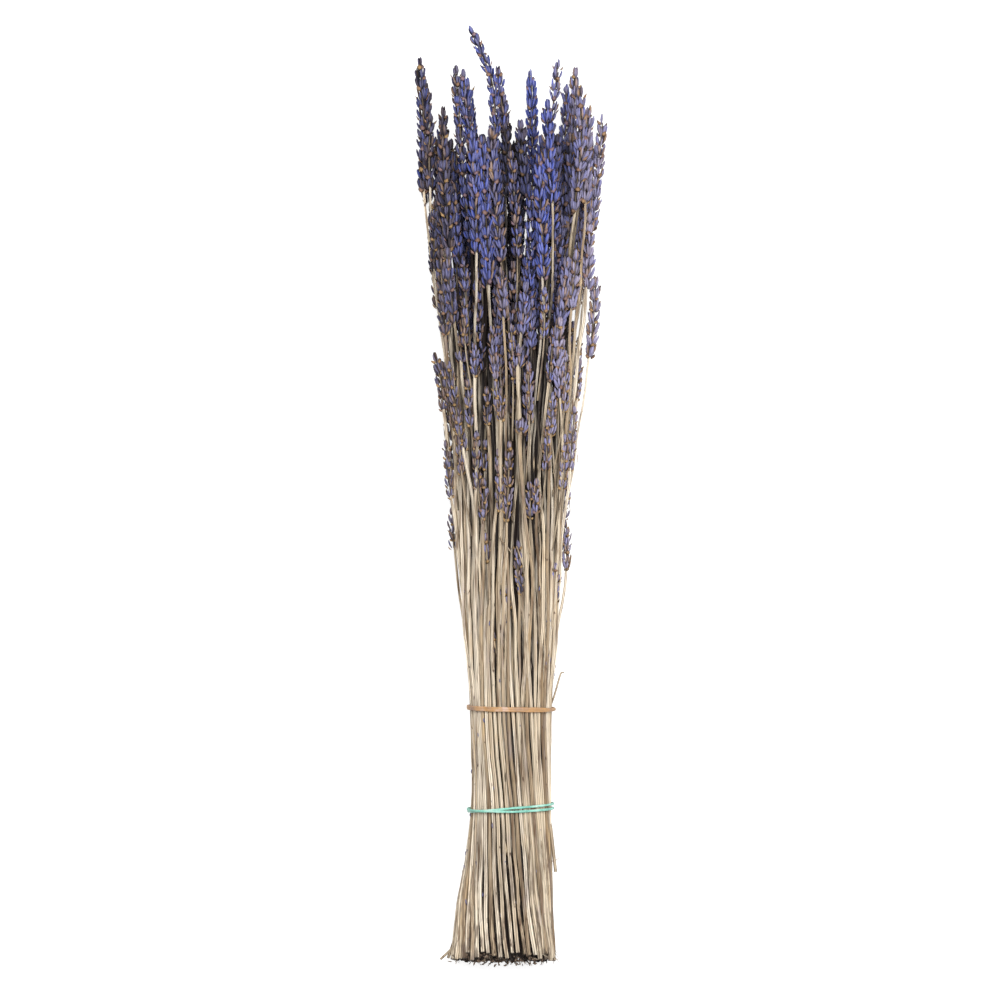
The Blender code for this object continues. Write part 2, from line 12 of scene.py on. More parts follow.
import bpy
import numpy as np
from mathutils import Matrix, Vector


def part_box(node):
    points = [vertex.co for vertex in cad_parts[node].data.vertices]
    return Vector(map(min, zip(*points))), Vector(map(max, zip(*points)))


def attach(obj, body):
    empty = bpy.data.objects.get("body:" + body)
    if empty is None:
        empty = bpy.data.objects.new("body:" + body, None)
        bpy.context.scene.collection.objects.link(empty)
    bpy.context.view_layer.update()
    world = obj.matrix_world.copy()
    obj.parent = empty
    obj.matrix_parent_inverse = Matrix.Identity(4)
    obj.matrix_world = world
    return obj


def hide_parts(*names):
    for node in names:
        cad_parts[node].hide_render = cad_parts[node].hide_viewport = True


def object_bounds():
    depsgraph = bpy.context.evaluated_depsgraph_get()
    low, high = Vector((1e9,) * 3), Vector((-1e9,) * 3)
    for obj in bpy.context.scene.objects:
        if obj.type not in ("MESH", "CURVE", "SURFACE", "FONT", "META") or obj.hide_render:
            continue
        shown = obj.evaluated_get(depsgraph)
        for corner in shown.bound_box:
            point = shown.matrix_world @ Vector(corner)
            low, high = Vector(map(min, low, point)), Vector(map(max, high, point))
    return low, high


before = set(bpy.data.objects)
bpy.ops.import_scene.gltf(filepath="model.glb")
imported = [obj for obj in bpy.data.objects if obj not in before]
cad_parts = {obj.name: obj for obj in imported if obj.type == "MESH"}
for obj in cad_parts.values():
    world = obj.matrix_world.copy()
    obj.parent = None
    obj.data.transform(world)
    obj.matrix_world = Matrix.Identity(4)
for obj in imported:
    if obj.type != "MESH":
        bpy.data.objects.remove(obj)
cad_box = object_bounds()
MM = 0.001
SEED = 11
print("nodes in the packed model:", len(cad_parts))

# %% [markdown]
# ## The outline of the bunch
#
# A bunch like this could be modelled by bending every stem by hand, but a hundred stems ask for a rule. The
# rule here is an oval that changes along the bunch: narrow at the bands, wide at the heads, flared at the
# cut ends. A place along the bunch is its station, the distance in millimetres from the cut ends. The
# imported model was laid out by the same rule, so everything made from it falls where the model has it.

# %% Half width, depth, height and lean of the oval at a station
OUTLINE_STATION = (0, 25, 55, 86, 141, 175, 200, 255, 310, 340, 400, 450, 520)
OUTLINE_HALF_WIDTH = (29.5, 27.3, 24.6, 22.4, 22.8, 24.7, 27.0, 35.0, 41.0, 45.0, 49.0, 51.5, 52.0)
DEPTH_PER_WIDTH = (0.80, 0.82, 0.86, 0.90, 0.90, 0.88, 0.86, 0.80, 0.76, 0.74, 0.72, 0.72, 0.72)
HELD_OFF = (-1.6, -1.3, 1.0, 2.6, 2.6, 2.2, 1.8, 0.2, -1.2, -1.8, -2.0, -2.0, -2.0)
LEAN = (-4.5, -3.6, -1.8, 0.0, 0.0, 0.0, 0.0, 0.0, 0.0, 0.0, 0.0, 0.0, 0.0)


def outline(station):
    """Half width, half depth, the height of the middle line and its lean, at a station."""
    half_width = np.interp(station, OUTLINE_STATION, OUTLINE_HALF_WIDTH)
    half_depth = half_width * np.interp(station, OUTLINE_STATION, DEPTH_PER_WIDTH)
    middle = half_depth + np.interp(station, OUTLINE_STATION, HELD_OFF)
    return half_width, half_depth, middle, np.interp(station, OUTLINE_STATION, LEAN)


def on_outline(station, angle, share, inset=0.0):
    """The point across the bunch (x, z) at an angle round it and a share of the way out."""
    half_width, half_depth, middle, lean = outline(station)
    return (
        lean + share * (half_width - inset) * math.cos(angle),
        middle + share * (half_depth - inset) * math.sin(angle),
    )


print("half width and depth at the upper band:", [round(float(v), 1) for v in outline(141)[:2]])

# %% [markdown]
# ## Where the flower heads sit
#
# The heads that face the camera are the ones a person would recognise the bunch by, so each has its own
# row: where its tip and base are across and along the bunch, how many layers down it lies, and its girth.
# The heads of the underside and the middle only have to fill the bunch, so they come from tiers and a
# seeded draw.

# %% The heads that face the camera, and those below them
LAYER_STEP = 8.0
FURTHEST_ACROSS = 0.98
DEEPEST_SHARE = 0.3
# (tip across, tip station, base across, base station, layer, girth radius)
FRONT_SPIKES = (
    (-50, 499, -50, 425, 0, 4.2),
    (-43, 469, -45, 426, 1, 3.8),
    (-38, 461, -40, 392, 0, 4.2),
    (-34, 453, -35, 399, 2, 4.0),
    (-34, 493, -26, 443, 1, 3.8),
    (-29, 491, -20, 448, 0, 4.0),
    (-27, 458, -23, 390, 0, 4.6),
    (-19, 455, -13, 374, 0, 4.8),
    (-25, 515, -8, 454, 1, 3.8),
    (-6, 459, 1, 386, 0, 5.2),
    (-2, 493, -2, 460, 2, 3.8),
    (2, 464, 10, 421, 2, 4.2),
    (9, 445, 19, 376, 0, 4.8),
    (32, 497, 16, 440, 2, 3.6),
    (15, 475, 23, 443, 1, 4.2),
    (20, 453, 28, 417, 0, 4.8),
    (37, 482, 36, 413, 0, 4.4),
    (41, 466, 38, 421, 2, 3.6),
    (46, 472, 43, 418, 0, 4.4),
    (53, 468, 47, 404, 1, 3.8),
    (46, 414, 42, 371, 0, 4.2),
    (-45, 421, -44, 381, 1, 3.4),
    (-34, 394, -32, 352, 0, 4.0),
    (-41, 393, -38, 346, 0, 3.8),
    (-28, 389, -26, 370, 1, 3.4),
    (-7, 383, -4, 354, 0, 4.0),
    (12, 396, 9, 371, 1, 3.8),
    (14, 375, 4, 346, 0, 3.8),
    (6, 341, 4, 328, 0, 4.0),
    (10, 366, 10, 338, 1, 3.4),
    (29, 389, 25, 349, 0, 4.4),
    (40, 393, 37, 360, 0, 4.0),
    (47, 379, 45, 334, 0, 4.0),
    (35, 356, 32, 311, 0, 3.8),
    (41, 346, 37, 311, 1, 3.2),
    (-43, 337, -40, 305, 0, 3.6),
    (-37, 332, -35, 294, 0, 2.8),
    (-35, 289, -32, 257, 0, 2.6),
    (-34, 252, -31, 229, 0, 3.0),
    (-31, 346, -29, 331, 0, 3.6),
    (-32, 332, -20, 283, 0, 3.2),
    (-15, 318, -11, 297, 0, 2.8),
    (-14, 289, -12, 272, 0, 2.8),
    (-4, 317, -5, 299, 0, 3.0),
    (8, 332, 9, 306, 0, 3.8),
    (-2, 288, -3, 244, 0, 3.2),
    (-14, 268, -13, 245, 0, 3.0),
    (13, 268, 14, 249, 0, 2.6),
    (25, 315, 21, 291, 0, 3.2),
    (36, 308, 32, 272, 0, 2.6),
    (32, 241, 29, 217, 0, 2.8),
    (5, 234, 4, 204, 0, 2.8),
    (-4, 213, -2, 196, 0, 2.6),
    (-20, 342, -20, 323, 0, 3.2),
    (-13, 351, -7, 324, 0, 3.4),
    (15, 350, 15, 320, 0, 3.0),
    (25, 344, 23, 315, 1, 3.0),
    (6, 301, 4, 292, 0, 4.0),
)
TALLEST_BOW = 4.4
TALLEST_HOOK = 8.0
TIER_JITTER = 9.0
UNDERSIDE_COUNT = 22
UNDERSIDE_ARC = (math.radians(186), math.radians(354))
# (tip station, length, girth radius), taken in turn
UNDERSIDE_TIERS = (
    (486, 66, 4.2),
    (420, 58, 4.0),
    (462, 70, 4.3),
    (350, 44, 3.4),
    (440, 62, 4.0),
    (285, 30, 2.8),
)
# (heads in the row, its height as a share of the half depth, its tiers)
MIDDLE_ROWS = (
    (8, 0.25, ((462, 60, 4.0), (430, 58, 3.8))),
    (8, -0.2, ((478, 62, 4.0), (446, 60, 4.0), (400, 52, 3.8))),
)
MIDDLE_SPAN = 0.85


def new_spike(base, tip, base_station, tip_station, girth, shown):
    return {
        "base": base,
        "tip": tip,
        "middle": ((base[0] + tip[0]) / 2, (base[1] + tip[1]) / 2),
        "base_station": base_station,
        "tip_station": tip_station,
        "girth": girth,
        "shown": shown,
    }


def on_top(x, station, below):
    """The point (x, z) that lies so far below the top of the bunch."""
    half_width, half_depth, middle, lean = outline(station)
    across = min(abs(x - lean) / half_width, FURTHEST_ACROSS)
    height = half_depth * math.sqrt(1 - across * across) - below
    return x, middle + max(height, -DEEPEST_SHARE * half_depth)


def front_spikes():
    """The spikes that show from above, each laid on the top of the bunch or some layers below it."""
    spikes = []
    for tip_x, tip_station, base_x, base_station, layer, girth in FRONT_SPIKES:
        ends = [(base_x, base_station), (tip_x, tip_station)]
        ends = [on_top(x, station, girth + layer * LAYER_STEP) for x, station in ends]
        spikes.append(new_spike(*ends, base_station, tip_station, girth, True))
    tallest = max(spikes, key=lambda spike: spike["tip_station"])
    tallest["middle"] = (tallest["middle"][0] + TALLEST_BOW, tallest["middle"][1])
    return spikes


def hidden_spikes(draw):
    """The spikes of the underside, evenly round the lower half, and those in rows through the middle."""
    spikes = []
    for place in range(UNDERSIDE_COUNT):
        tip_station, length, girth = UNDERSIDE_TIERS[place % len(UNDERSIDE_TIERS)]
        tip_station += draw.uniform(-TIER_JITTER, TIER_JITTER)
        turn = (place + 0.5 + draw.uniform(-0.2, 0.2)) / UNDERSIDE_COUNT
        angle = UNDERSIDE_ARC[0] + turn * (UNDERSIDE_ARC[1] - UNDERSIDE_ARC[0])
        base = on_outline(tip_station - length, angle, 1.0, girth)
        tip = on_outline(tip_station, angle, draw.uniform(0.94, 1.0), girth)
        spikes.append(new_spike(base, tip, tip_station - length, tip_station, girth, False))
    for count, height_share, tiers in MIDDLE_ROWS:
        for place in range(count):
            tip_station, length, girth = tiers[place % len(tiers)]
            tip_station += draw.uniform(-TIER_JITTER, TIER_JITTER)
            ends = []
            for station in (tip_station - length, tip_station):
                half_width, half_depth, middle, lean = outline(station)
                across = (2 * (place + 0.5 + draw.uniform(-0.15, 0.15)) / count - 1) * MIDDLE_SPAN
                ends.append((lean + across * half_width, middle + height_share * half_depth))
            spikes.append(new_spike(*ends, tip_station - length, tip_station, girth, False))
    return spikes


layout_draw = random.Random(SEED)
spikes = front_spikes() + hidden_spikes(layout_draw)
print("flower heads:", len(spikes))

# %% [markdown]
# ## The line of every stem
#
# In the tied part each stem has a slot: the outermost ones go round the bunch in order, the others lie
# inside. From the upper band a stem runs free to its head. Drawn straight, many would cross, so they are
# pushed apart a little at a time until none does. A cloth or rope simulation could do that too, but a few
# lines of numpy are quicker and give the same answer each time. Heads that share a node of the model are
# drawn together until their calyces mesh.

# %% Slots in the tied part
STEM_REACH = 1.2
STEM_FLAT = STEM_REACH * math.cos(math.pi / 3)
OUTER_STEMS = 52
INNER_SHARES = (0.72, 0.45)
LYING_STATION = 25.0
LOWER_BAND_STATION = 86.0
UPPER_BAND_STATION = 141.0
FREE_FROM = 186.0
STEM_RUN = 48.0
RAGGED_END = 7.0
INWARD_PER_MM = 0.0008
DIP = 0.08
ROOT_STATION = 158.0


def give_slots(spikes, draw):
    """Gives each stem its place in the tied part: outermost stems round it in order, the others inside."""
    for spike in spikes:
        half_width, half_depth, middle, lean = outline(spike["base_station"])
        across = (spike["base"][0] - lean) / half_width
        up = (spike["base"][1] - middle) / half_depth
        spike["angle"] = math.atan2(up, across) % (2 * math.pi)
        spike["reach"] = math.hypot(across, up) - INWARD_PER_MM * spike["base_station"]
    by_reach = sorted(spikes, key=lambda spike: -spike["reach"])
    outer, inner = by_reach[:OUTER_STEMS], by_reach[OUTER_STEMS:]
    for ring, share in ((outer, 1.0), (inner[::2], INNER_SHARES[0]), (inner[1::2], INNER_SHARES[1])):
        ring.sort(key=lambda spike: spike["angle"])
        step = 2 * math.pi / len(ring)
        start = sum(spike["angle"] - step * place for place, spike in enumerate(ring)) / len(ring)
        for place, spike in enumerate(ring):
            spike["slot"] = start + step * place
            spike["share"] = share
            spike["start"] = draw.uniform(0, RAGGED_END) if share == 1.0 else ROOT_STATION
    return outer, inner


def first_line(spike):
    """A stem's line through its slot to its spike's tip: stations where it bends, and (x, z) at each."""
    knots = [spike["start"]]
    if spike["share"] == 1.0:
        knots += [LYING_STATION, LOWER_BAND_STATION, UPPER_BAND_STATION]
    tied = len(knots) + 1
    base = spike["base_station"]
    runs = max(1, math.ceil((base - FREE_FROM) / STEM_RUN))
    knots += [FREE_FROM + (base - FREE_FROM) * k / runs for k in range(runs + 1)]
    knots += [(base + spike["tip_station"]) / 2, spike["tip_station"]]
    points = [on_outline(s, spike["slot"], spike["share"], STEM_FLAT) for s in knots[:tied]]
    start = points[-1]
    for k in range(1, runs):
        middle, lean = outline(knots[tied - 1 + k])[2:]
        inward = DIP * math.sin(math.pi * k / runs)
        x, z = (a + (b - a) * k / runs for a, b in zip(start, spike["base"]))
        points.append((x + inward * (lean - x), z + inward * (middle - z)))
    points += [spike["base"], spike["middle"], spike["tip"]]
    return np.array(knots), np.array(points)


outer_ring, inner_ring = give_slots(spikes, layout_draw)
print("stems round the outside:", len(outer_ring), "inside:", len(inner_ring))

# %% Push the stems clear of each other
STATION_STEP = 6.0
LAST_STATION = 530.0
SPIKE_MARGIN = 6.0
CLEARANCE = 0.9
ROUNDS = 300
SETTLING_ROUNDS = 210
PUSH_STEP = 0.36
SIDEWAYS_SHARE = 0.45
PULL_BACK = 0.06
PRESSED = 1.8
STIFFNESS = 0.22
LATE_STIFFNESS = 0.05
MESHED_SPACING = 0.63
MESH_EASING = 0.14
MESH_RUN_IN = 12.0
LEAST_MESHED_STATIONS = 5
MOST_SPIKE_NODES = 57
MOST_SPIKES_PER_NODE = 3


def radius_along(spike, stations, margin=0.0):
    """The radius that a stem or its spike takes up at every station. A margin makes the spike longer."""
    base, tip = spike["base_station"], spike["tip_station"]
    in_spike = (stations > base - margin) & (stations < tip + margin)
    taken = 1.04 - 0.35 * np.clip((stations - base) / (tip - base), 0, 1)
    return np.where(in_spike, spike["girth"] * taken, STEM_REACH)


def shared_depth(first, second, stations):
    """How far inside the stretch where both are flower spikes each station is. It is negative outside."""
    low = max(first["base_station"], second["base_station"])
    high = min(first["tip_station"], second["tip_station"])
    return np.minimum(stations - low, high - stations)


def choose_links(spikes, paths, stations):
    """Past the limit on nodes, spikes that lie closest side by side mesh and share a node."""
    found = []
    for i, first in enumerate(spikes):
        for j in range(i + 1, len(spikes)):
            shared = shared_depth(first, spikes[j], stations) >= 0
            if shared.sum() >= LEAST_MESHED_STATIONS:
                apart = np.linalg.norm(paths[i][shared] - paths[j][shared], axis=1).mean()
                found.append((apart, i, j))
    group = list(range(len(spikes)))
    links = []
    for _, i, j in sorted(found):
        if len(set(group)) <= MOST_SPIKE_NODES:
            break
        size = group.count(group[i]) + group.count(group[j])
        if group[i] != group[j] and size <= MOST_SPIKES_PER_NODE:
            links.append((i, j))
            group = [group[i] if g == group[j] else g for g in group]
    return links, group


def spacing_rules(spikes, paths, stations):
    """How far apart each two spikes or stems have to be at every station, where they mesh, and the nodes."""
    bare = np.array([radius_along(spike, stations) for spike in spikes])
    radii = np.array([radius_along(spike, stations, SPIKE_MARGIN) for spike in spikes])
    need = radii[:, None] + radii[None] + CLEARANCE
    meshed = np.zeros(need.shape, dtype=bool)
    links, group = choose_links(spikes, paths, stations)
    for i, j in links:
        depth = shared_depth(spikes[i], spikes[j], stations)
        spacing = MESHED_SPACING + MESH_EASING * np.clip(1 - depth / MESH_RUN_IN, 0, 1)
        both = bare[i] + bare[j]
        need[i, j] = need[j, i] = np.where(depth >= 0, both * spacing, both + CLEARANCE)
        meshed[i, j] = meshed[j, i] = depth >= 0
    return radii, need, meshed, group


def spread(spikes):
    """Bends the stems clear of each other. Linked spikes are drawn together until their calyces mesh."""
    stations = np.arange(FREE_FROM - 4 * STATION_STEP, LAST_STATION, STATION_STEP)
    knots, points = zip(*(first_line(spike) for spike in spikes))
    points = list(points)
    hats = [np.array([np.interp(stations, k, row) for row in np.eye(len(k))]).T for k in knots]
    paths = np.array([hat @ p for hat, p in zip(hats, points)])
    wanted = paths.copy()
    radii, need, meshed, group = spacing_rules(spikes, paths, stations)
    there = np.array([stations <= spike["tip_station"] + STATION_STEP for spike in spikes])
    acts = there[:, None] & there[None] & ~np.eye(len(spikes), dtype=bool)[..., None]
    fits = [np.linalg.pinv(hat * on[:, None]) * on for hat, on in zip(hats, there)]
    loose = [(k > UPPER_BAND_STATION + 1).astype(float)[:, None] for k in knots]
    for round_number in range(ROUNDS):
        settling = round_number < SETTLING_ROUNDS
        apart = paths[:, None] - paths[None]
        distance = np.linalg.norm(apart, axis=-1) + 1e-6
        short = np.where(meshed, need - distance, np.clip(need - distance, 0, None)) * acts
        push = (apart / distance[..., None] * short[..., None]).sum(axis=1)
        push[..., 0] *= SIDEWAYS_SHARE
        if settling:
            push[..., 0] += PULL_BACK * (wanted - paths)[..., 0]
        bend = np.zeros_like(paths)
        bend[:, 1:-1] = paths[:, 2:] + paths[:, :-2] - 2 * paths[:, 1:-1]
        moved = paths + PUSH_STEP * push + (STIFFNESS if settling else LATE_STIFFNESS) * bend
        moved[..., 1] = np.maximum(moved[..., 1], radii - PRESSED)
        for i, hat in enumerate(hats):
            points[i] = points[i] + loose[i] * (fits[i] @ moved[i] - points[i])
            paths[i] = hat @ points[i]
    tallest = max(range(len(spikes)), key=lambda i: spikes[i]["tip_station"])
    points[tallest][-1, 0] -= TALLEST_HOOK
    return list(zip(knots, points)), group


lines, group = spread(spikes)
node_of_group = {}
for value in group:
    node_of_group.setdefault(value, f"flower_spike_{len(node_of_group) + 1:02d}")
print("nodes that hold the heads:", len(node_of_group))

# %% [markdown]
# ## From stations to the frame
#
# The rule counts from the cut ends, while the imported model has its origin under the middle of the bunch.
# The upper band is the one ring whose middle both know, so the step from one to the other is read from its
# box.

# %% Where the origin lies
CROSSING_CLEAR = 0.4
CROSSING_SPREAD = 0.4
SWAP_STEEPNESS = 2.6
TAN_BAND = {
    "station": UPPER_BAND_STATION,
    "thickness": 1.25,
    "spacing": (1.65, 1.65),
    "tilt": -0.5,
    "crossing": math.radians(9),
}
GREEN_BAND = {
    "station": LOWER_BAND_STATION,
    "thickness": 1.0,
    "spacing": (1.4, 2.5),
    "tilt": 1.2,
    "crossing": math.radians(132),
}
SEAT_GAP = 0.3
CHORD_ALLOWANCE = 0.2


def band_line(band, points_per_turn, lift_share=1.0):
    """The centre line of an elastic band wound twice. At its crossing one turn rides over the other."""
    line = []
    for k in range(2 * points_per_turn):
        turn = 2 * math.pi * k / points_per_turn
        from_crossing = (turn - band["crossing"]) / 2
        swap = math.sin(from_crossing)
        rides_over = math.cos(from_crossing) > 0
        lift = 0.0
        if rides_over:
            hump = math.exp(-((swap / CROSSING_SPREAD) ** 2))
            lift = lift_share * (band["thickness"] + CROSSING_CLEAR) * hump
        left, right = band["spacing"]
        rightness = 0.5 + 0.5 * math.cos(turn)
        side = max(-1.0, min(1.0, SWAP_STEEPNESS * swap))
        aside = 0.5 * (left + (right - left) * rightness) * side
        place = band["station"] + band["tilt"] * math.cos(turn) + aside
        clear = SEAT_GAP + CHORD_ALLOWANCE + 0.5 * band["thickness"] + lift
        x, z = on_outline(place, turn, 1.0, -clear)
        line.append((x, place, z))
    return np.array(line)


def find_origin():
    """What to add to (x, station, z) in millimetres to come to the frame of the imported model."""
    line = band_line(TAN_BAND, 26)
    low, high = (np.array(corner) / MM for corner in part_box("tan_band"))
    step = (low + high) / 2 - (line.min(axis=0) + line.max(axis=0)) / 2
    return np.array((step[0], step[1], 0.0))


ORIGIN = find_origin()
print("from stations to the frame, in mm:", ORIGIN.round(2))

# %% [markdown]
# ## Smooth lines
#
# A dried stem has no corners. The knots of the layout are joined by a cubic curve, and every stem and head
# is strung along one. A Blender curve object with a bevel would be the usual way. Plain arrays are used
# because each stem also needs its own ribs, its own taper and painted values.

# %% A cubic curve through the knots
def smooth(line, at):
    """Points (x, station, z) of a line at the asked stations, on a cubic curve through its knots."""
    knots, points = line
    slopes = np.gradient(points, knots, axis=0)
    at = np.clip(np.asarray(at, dtype=float), knots[0], knots[-1])
    k = np.clip(np.searchsorted(knots, at, side="right") - 1, 0, len(knots) - 2)
    run = knots[k + 1] - knots[k]
    t = ((at - knots[k]) / run)[:, None]
    run = run[:, None]
    across = (
        (2 * t**3 - 3 * t**2 + 1) * points[k]
        + (t**3 - 2 * t**2 + t) * run * slopes[k]
        + (3 * t**2 - 2 * t**3) * points[k + 1]
        + (t**3 - t**2) * run * slopes[k + 1]
    )
    return np.stack((across[:, 0], at, across[:, 1]), axis=1)


def unit(vectors):
    return vectors / np.linalg.norm(vectors, axis=-1, keepdims=True)


def directions(points):
    """The direction of a line of points, at each point."""
    return unit(np.gradient(points, axis=0))


print("first stem at three stations:", smooth(lines[0], (100, 200, 300)).round(1).tolist())

# %% [markdown]
# ## Shader sums
#
# A finish that changes over a surface is worked out by nodes. Wiring them one by one hides the idea, so a
# small class wraps an output and lets Python's own signs add the Math nodes: `1 - mask` makes a Subtract
# node. Colours never go through these, because a Math node would turn them grey. They are mixed by a Mix
# node.

# %% One class for values, one for finishes
class Value:
    """An output of a shader node that takes part in sums."""

    def __init__(self, finish, socket):
        self.finish = finish
        self.socket = socket

    def sum(self, operation, first, second):
        return self.finish.node("Math", {"operation": operation}, {0: first, 1: second})

    def __add__(self, other):
        return self.sum("ADD", self, other)

    def __radd__(self, other):
        return self.sum("ADD", other, self)

    def __sub__(self, other):
        return self.sum("SUBTRACT", self, other)

    def __rsub__(self, other):
        return self.sum("SUBTRACT", other, self)

    def __mul__(self, other):
        return self.sum("MULTIPLY", self, other)

    def __rmul__(self, other):
        return self.sum("MULTIPLY", other, self)

    def __pow__(self, other):
        return self.sum("POWER", self, other)


def paint(red, green, blue):
    """A colour as the eye reads it on a screen, 0 to 255, in the linear values that Blender mixes."""
    shares = (red / 255, green / 255, blue / 255)
    return (*(s / 12.92 if s <= 0.04045 else ((s + 0.055) / 1.055) ** 2.4 for s in shares), 1.0)


class Finish:
    """A material with its Principled shader, and the few ways in which its values are made."""

    def __init__(self, name, constants):
        self.material = bpy.data.materials.new(name)
        self.material.use_nodes = True
        self.tree = self.material.node_tree
        self.shader = self.tree.nodes["Principled BSDF"]
        self.set(constants)

    def node(self, kind, settings, sockets, output=0):
        """Adds a node of any kind: its settings first, then the values or links of its sockets."""
        made = self.tree.nodes.new("ShaderNode" + kind)
        for name, value in settings.items():
            if name == "stops":
                self.set_stops(made.color_ramp.elements, value)
            else:
                setattr(made, name, value)
        for name, value in sockets.items():
            self.plug(made.inputs[name], value)
        return Value(self, made.outputs[output])

    def set_stops(self, elements, stops):
        while len(elements) < len(stops):
            elements.new(0.5)
        for element, (position, colour) in zip(elements, stops):
            element.position = position
            element.color = colour

    def plug(self, socket, value):
        if isinstance(value, Value):
            self.tree.links.new(value.socket, socket)
        else:
            socket.default_value = value

    def set(self, sockets):
        """Sets or links sockets of the Principled shader."""
        for name, value in sockets.items():
            self.plug(self.shader.inputs[name], value)

    def painted(self, name):
        """A value painted on the mesh."""
        return self.node("Attribute", {"attribute_name": name}, {}, "Fac")

    def ramp(self, value, stops):
        """A colour for each size of a value."""
        return self.node("ValToRGB", {"stops": stops}, {"Fac": value}, "Color")

    def mix(self, first, second, share):
        """A colour between two others."""
        return self.node("Mix", {"data_type": "RGBA"}, {0: share, 6: first, 7: second}, 2)

    def grain(self, scale, stretch=(1, 1, 1), detail=3.0, roughness=0.55, shift=0.0):
        """Noise fixed to the piece, stretched along each axis as stretch says. shift moves to other noise."""
        place = self.node("TexCoord", {}, {}, "Object")
        place = self.node("VectorMath", {"operation": "MULTIPLY"}, {0: place, 1: stretch})
        if isinstance(shift, Value):
            place = self.node("VectorMath", {"operation": "ADD"}, {0: place, 1: shift})
        sockets = {"Vector": place, "Scale": scale, "Detail": detail, "Roughness": roughness}
        return self.node("TexNoise", {}, sockets, "Fac")

    def clamped(self, value, low, high):
        """A value stretched so that low becomes 0 and high becomes 1, and cut off there."""
        return self.node("MapRange", {"clamp": True}, {"Value": value, "From Min": low, "From Max": high})

    def bump(self, height, strength, distance):
        """Small relief. The distance is how deep a height of 1 is, in metres."""
        sockets = {"Strength": strength, "Distance": distance, "Height": height}
        self.set({"Normal": self.node("Bump", {}, sockets, "Normal")})


print("violet blue in linear values:", [round(v, 3) for v in paint(84, 88, 190)])

# %% [markdown]
# ## Finishes
#
# A calyx is a little felted tube. Fresh ones are violet blue, older ones grey lavender, and a few have
# dried to straw. That age is painted on each calyx, and a ramp turns it into a colour. The felt catches
# light at its edges, which the shader's sheen gives, and its tip fades. Each calyx is pale on the crest
# that faces out of its head, partly its own pale ribs and partly a painted highlight, and near black on
# its back, a painted shade. Its foot is dark, partly its own brown and partly painted shade. Calyces and
# bracts are painted darker the deeper they lie in the bunch, a painted shade. The papery bracts under each
# whorl are mauve brown to tan.

# %% Calyx and bract
calyx_finish = Finish("dried_calyx", {"Roughness": 0.85, "Specular IOR Level": 0.15, "Sheen Weight": 0.12})
calyx_finish.set({"Sheen Roughness": 0.5, "Sheen Tint": paint(200, 196, 220)})
freshness = calyx_finish.painted("freshness")
along = calyx_finish.painted("along")
ridge = calyx_finish.painted("ridge")
shade = calyx_finish.painted("shade")
bleaching = calyx_finish.painted("tone")
mottling = calyx_finish.grain(420.0, (1, 1, 1), 2.0)
felt = calyx_finish.grain(1600.0, (1, 0.35, 1), 2.0)
age = calyx_finish.clamped(freshness + 0.25 * (mottling - 0.5), 0.0, 1.0)
body_colour = calyx_finish.ramp(
    age,
    (
        (0.00, paint(166, 132, 92)),
        (0.14, paint(120, 96, 86)),
        (0.36, paint(98, 90, 116)),
        (0.66, paint(80, 88, 150)),
        (1.00, paint(64, 88, 188)),
    ),
)
# Painted shade and highlight: the back of each calyx, which faces into its head, goes near black, and the
# crest that faces out is painted pale, partly its own pale ribs and partly a painted highlight.
shaded_flanks = calyx_finish.mix(paint(14, 11, 20), body_colour, calyx_finish.clamped(ridge, -0.12, 0.7))
crest = calyx_finish.clamped(ridge, 0.55, 1.0) * (0.4 + 0.6 * mottling)
ribbed = calyx_finish.mix(shaded_flanks, paint(172, 168, 192), 0.62 * crest)
# The foot of each calyx is dark, partly its own brown and partly painted shade where the calyces crowd.
stalk_end = calyx_finish.mix(paint(44, 32, 32), ribbed, calyx_finish.clamped(along, 0.0, 0.5))
mouth = calyx_finish.mix(stalk_end, paint(46, 38, 58), calyx_finish.clamped(along, 1.02, 1.08))
fuzzy = calyx_finish.mix(mouth, paint(34, 30, 52), 0.25 * felt)
whitened = bleaching * (0.3 + 0.9 * mottling) * calyx_finish.clamped(age, 0.06, 0.26)
bleached = calyx_finish.mix(fuzzy, paint(176, 168, 194), whitened)
# Painted shade: the shade value takes each calyx towards black, the deeper it lies in the bunch.
calyx_finish.set({"Base Color": calyx_finish.mix(bleached, paint(10, 8, 12), shade)})
calyx_finish.bump(felt, 0.6, 0.00012)

bract_finish = Finish("papery_bract", {"Roughness": 0.7, "Specular IOR Level": 0.25})
freshness = bract_finish.painted("freshness")
along = bract_finish.painted("along")
veins = bract_finish.grain(900.0, (1, 0.2, 1), 2.0)
bract_colour = bract_finish.ramp(
    freshness,
    ((0.0, paint(186, 152, 104)), (0.4, paint(150, 118, 96)), (1.0, paint(142, 118, 130))),
)
edge_colour = bract_finish.mix(bract_colour, paint(92, 66, 56), 0.5 * along**2.0)
veined = bract_finish.mix(edge_colour, paint(84, 60, 46), 0.5 * veins)
# Painted shade: the shade value takes each bract towards black, the deeper it lies.
bract_finish.set({"Base Color": bract_finish.mix(veined, paint(12, 9, 10), bract_finish.painted("shade"))})
bract_finish.bump(veins, 0.5, 0.0001)
print("finishes so far:", [m.name for m in bpy.data.materials])

# %% [markdown]
# A stem is square with a rib at each corner. Its straw colour runs from cream on the ribs to brown in the
# grooves, where the brown is partly the straw's own and partly painted shade, and it differs from stem to
# stem. Three grains of noise, each stretched along the stem, give long streaks of weathering, golden or grey
# blotches, and specks. A fourth gives the dark dirt that clings to the stems, most of all near the cut ends.
# Stems deep in the bunch and under others get painted shade, up to near black. The shreds between the cut
# ends are plain dark fibre.

